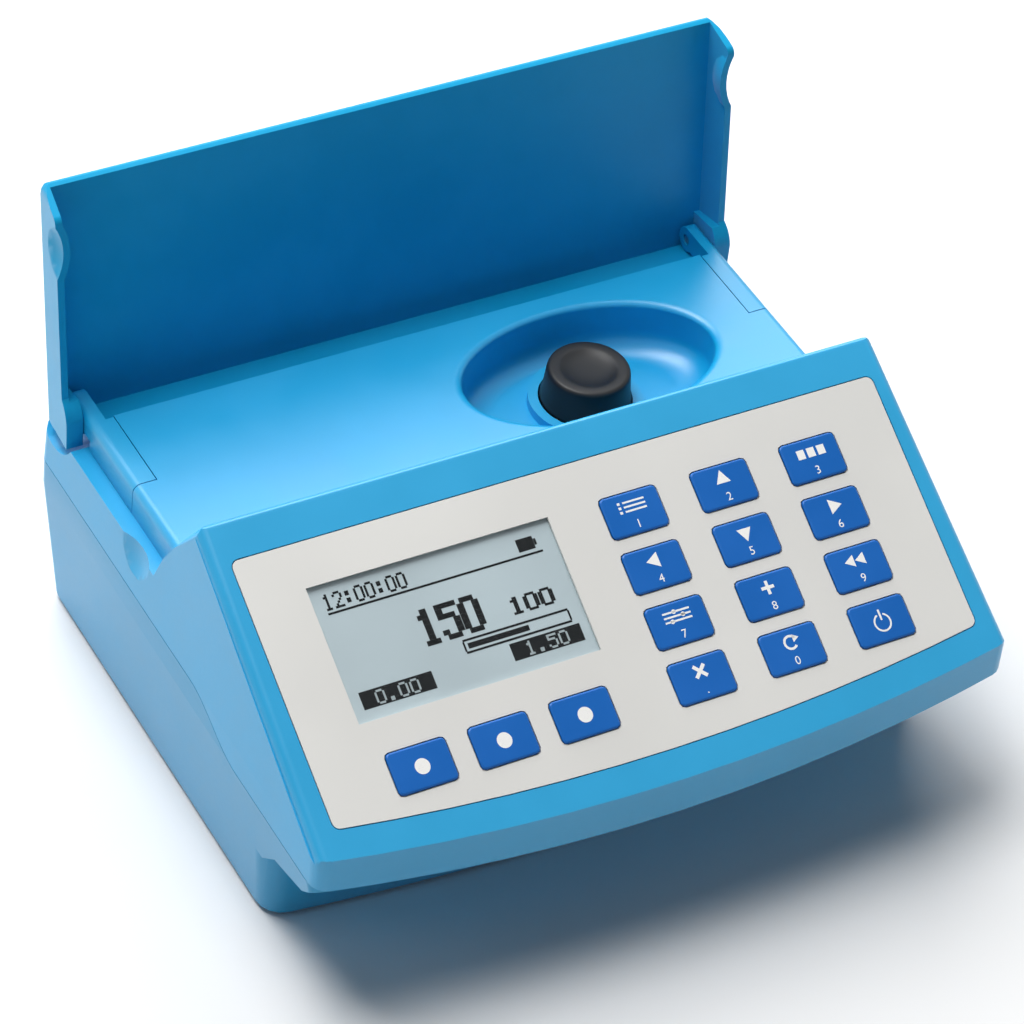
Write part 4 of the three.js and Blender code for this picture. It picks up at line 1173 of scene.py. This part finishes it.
@dataclass
class SampleWell:
    """The cuvette and its cap."""

    lift: float = 1.6 * MM
    tube_edge: float = 0.15 * MM
    cap_profile: tuple[tuple[float, float], ...] = (
        (0.0, 68.5), (11.2, 68.5), (11.2, 60.2), (12.55, 60.2), (12.7, 60.35), (12.68, 61.4),
        (12.45, 62.6), (12.2, 64.0), (12.0, 65.8), (11.85, 67.6), (11.72, 69.2), (11.62, 69.9),
        (11.45, 70.4), (11.15, 70.76), (10.75, 70.94), (10.3, 71.0), (9.0, 70.99), (8.3, 70.95),
        (7.8, 70.82), (7.2, 70.56), (6.3, 70.24), (5.1, 69.98), (3.6, 69.8), (1.8, 69.71),
        (0.0, 69.68),
    )

    def _turned(self, profile: Iterable[tuple[float, float]], steps: int = 96) -> bmesh.types.BMesh:
        """Turns a profile of radius and height into a closed body.

        Args:
            profile: its points, from the axis back to the axis.
            steps: how many sides the turning has.

        Returns:
            The body.
        """
        mesh = bmesh.new()
        points = [
            mesh.verts.new((WELL.x + radius * MM, WELL.y, height * MM + self.lift))
            for radius, height in profile
        ]
        edges = [mesh.edges.new(pair) for pair in zip(points, points[1:])]
        bmesh.ops.spin(
            mesh,
            geom=[*points, *edges],
            cent=(WELL.x, WELL.y, 0.0),
            axis=(0.0, 0.0, 1.0),
            angle=math.tau,
            steps=steps,
            use_merge=True,
        )
        bmesh.ops.remove_doubles(mesh, verts=mesh.verts, dist=WELD / 2)
        bmesh.ops.recalc_face_normals(mesh, faces=mesh.faces)
        softened(mesh, 40)
        return mesh

    def build(self) -> None:
        """Makes the cap and dresses the cuvette."""
        mesh = self._turned(self.cap_profile)
        cap = own_piece("cap_moulding", mesh, Finishes.cap, "cap")
        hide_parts("cuvette_cap")
        moulding(
            "cuvette", "cuvette_tube", Finishes.glass, "cuvette", self.tube_edge
        )
        LOG.info("sample well")


@dataclass
class Inside:
    """What the case holds."""

    finishes: tuple[tuple[str, Finish], ...] = (
        ("display_window", Finishes.window),
        ("display_module", Finishes.crystal),
        ("key_contact_sheet", Finishes.sheet),
        ("main_board", Finishes.board),
        ("optical_block", Finishes.black),
        ("lamp_board", Finishes.board),
        ("detector_board", Finishes.board),
        ("lamp_lens", Finishes.lens),
        ("detector_filter", Finishes.lens),
        ("battery", Finishes.wrap),
        ("battery_strap", Finishes.nickel),
        ("socket_board", Finishes.board),
    )

    def build(self) -> None:
        """Dresses the inner pieces."""
        for node, finish in self.finishes:
            dress(node, finish)
        for number in range(1, 5):
            dress(f"board_screw_{number}", Finishes.steel)
        LOG.info("inside: %d pieces", len(self.finishes) + 4)


# Studio


@dataclass(frozen=True)
class Lamp:
    """A soft rectangular lamp: where it hangs, what it faces, its sides in metres and its watts."""

    name: str
    place: Point
    aim: Point
    sides: tuple[float, float]
    power: float

    def hang(self) -> None:
        """Adds the lamp to the scene."""
        data = bpy.data.lights.new(self.name, "AREA")
        data.shape = "RECTANGLE"
        data.size, data.size_y = self.sides
        data.energy = self.power
        lamp = bpy.data.objects.new(self.name, data)
        bpy.context.scene.collection.objects.link(lamp)
        turn = (Vector(self.aim) - Vector(self.place)).to_track_quat("-Z", "Y")
        lamp.matrix_world = Matrix.Translation(self.place) @ turn.to_matrix().to_4x4()


@dataclass
class Studio:
    """The camera, the pale floor and the soft light."""

    camera_place: Point = (-0.5026267, -0.7689902, 0.8871885)
    camera_axes: tuple[Point, Point, Point] = (
        (0.8770483, -0.4717054, 0.0909960),
        (0.2583451, 0.6228061, 0.7384920),
        (-0.4050235, -0.6241848, 0.6680938),
    )
    lens: float = 162.704
    floor_reach: float = 12.0
    painted_reflection_glow: float = 0.2
    fade: tuple[float, float] = (0.3, 0.9)
    floor_tone: Colour = (0.84, 0.84, 0.84)
    floor_bounce: Colour = (0.8, 0.81, 0.82)
    room_tone: Colour = (0.93, 0.97, 1.0)
    room_light: float = 0.12
    lamps: tuple[Lamp, ...] = (
        Lamp("rear", (0.2, 1.3, 1.2), (0.0, 0.0, 0.05), (2.0, 1.0), 27.0),
        Lamp("ceiling", (-0.3, 0.5, 1.75), (0.0, 0.0, 0.0), (1.0, 1.0), 31.0),
        Lamp("left", (-1.3, 0.75, 0.55), (0.0, 0.0, 0.05), (0.8, 0.6), 1.5),
    )

    def _camera(self) -> None:
        """Puts the camera where the photograph was taken from."""
        data = bpy.data.cameras.new("camera")
        data.lens = self.lens
        data.sensor_width = 36.0
        data.clip_start = 0.05
        data.clip_end = 60.0
        camera = bpy.data.objects.new("camera", data)
        bpy.context.scene.collection.objects.link(camera)
        turn = Matrix([[axis[row] for axis in self.camera_axes] for row in range(3)]).to_4x4()
        camera.matrix_world = Matrix.Translation(self.camera_place) @ turn
        bpy.context.scene.camera = camera

    def _floor(self) -> None:
        """Lays a pale floor that turns to plain white away from the object.

        The camera sees it so, and so do mirrors and glass. Near the object, mirrors also see it
        glow faintly, a painted reflection that whitens glossy sides. To all other light it is one
        pale tone.
        """
        mesh = bmesh.new()
        bmesh.ops.create_grid(mesh, x_segments=1, y_segments=1, size=self.floor_reach)
        surface = Surface("pale floor")
        rays = surface.add("ShaderNodeLightPath", {}, {})
        camera = Value(surface, rays.outputs["Is Camera Ray"])
        gloss = Value(surface, rays.outputs["Is Glossy Ray"])
        through = Value(surface, rays.outputs["Is Transmission Ray"])
        reach = surface.add("ShaderNodeVectorMath", {"operation": "LENGTH"}, {0: surface.place})
        far = Value(surface, reach.outputs["Value"]).smooth(*self.fade)
        shown = surface.mixed(far, self.floor_tone, (0.0, 0.0, 0.0))
        surface.set(
            Base_Color=surface.mixed(camera + gloss + through, self.floor_bounce, shown),
            Roughness=0.9,
            Specular_IOR_Level=0.0,
            Emission_Color=(1.0, 1.0, 1.0),
            # Near the object only glossy rays see a faint glow: a painted reflection, not lamp
            # light.
            Emission_Strength=(
                (camera + through + gloss) * far + gloss * (1 - far) * self.painted_reflection_glow
            ),
        )
        data = bpy.data.meshes.new("floor")
        mesh.to_mesh(data)
        mesh.free()
        data.materials.append(surface.material)
        floor = bpy.data.objects.new("floor", data)
        bpy.context.scene.collection.objects.link(floor)

    def _sky(self) -> None:
        """Lights the room evenly, and is white to the camera, in mirrors and through glass."""
        world = bpy.data.worlds.new("room")
        bpy.context.scene.world = world
        world.use_nodes = True
        tree = world.node_tree
        tree.nodes.clear()
        rays = tree.nodes.new("ShaderNodeLightPath")
        straight = tree.nodes.new("ShaderNodeMath")
        straight.operation = "ADD"
        tree.links.new(rays.outputs["Is Camera Ray"], straight.inputs[0])
        tree.links.new(rays.outputs["Is Transmission Ray"], straight.inputs[1])
        seen = tree.nodes.new("ShaderNodeMath")
        seen.operation = "ADD"
        seen.use_clamp = True
        tree.links.new(straight.outputs[0], seen.inputs[0])
        tree.links.new(rays.outputs["Is Glossy Ray"], seen.inputs[1])
        room = tree.nodes.new("ShaderNodeBackground")
        room.inputs[0].default_value = (*self.room_tone, 1.0)
        room.inputs[1].default_value = self.room_light
        white = tree.nodes.new("ShaderNodeBackground")
        white.inputs[0].default_value = (1.0, 1.0, 1.0, 1.0)
        mix = tree.nodes.new("ShaderNodeMixShader")
        output = tree.nodes.new("ShaderNodeOutputWorld")
        tree.links.new(seen.outputs[0], mix.inputs[0])
        tree.links.new(room.outputs[0], mix.inputs[1])
        tree.links.new(white.outputs[0], mix.inputs[2])
        tree.links.new(mix.outputs[0], output.inputs[0])

    def build(self) -> None:
        """Sets up camera, floor, lamps and room."""
        bpy.context.scene.view_settings.view_transform = "Standard"
        self._camera()
        self._floor()
        self._sky()
        for lamp in self.lamps:
            lamp.hang()
        LOG.info("studio")


def main() -> None:
    """Builds every piece in order."""
    logging.basicConfig(level=logging.INFO, format="%(name)s: %(message)s")
    parts: tuple[Any, ...] = (
        Studio(), Case(), LidTray(), SampleWell(), ControlPanel(), DisplayPicture(), Inside(),
    )
    for part in parts:
        part.build()


if __name__ == "__main__":
    main()
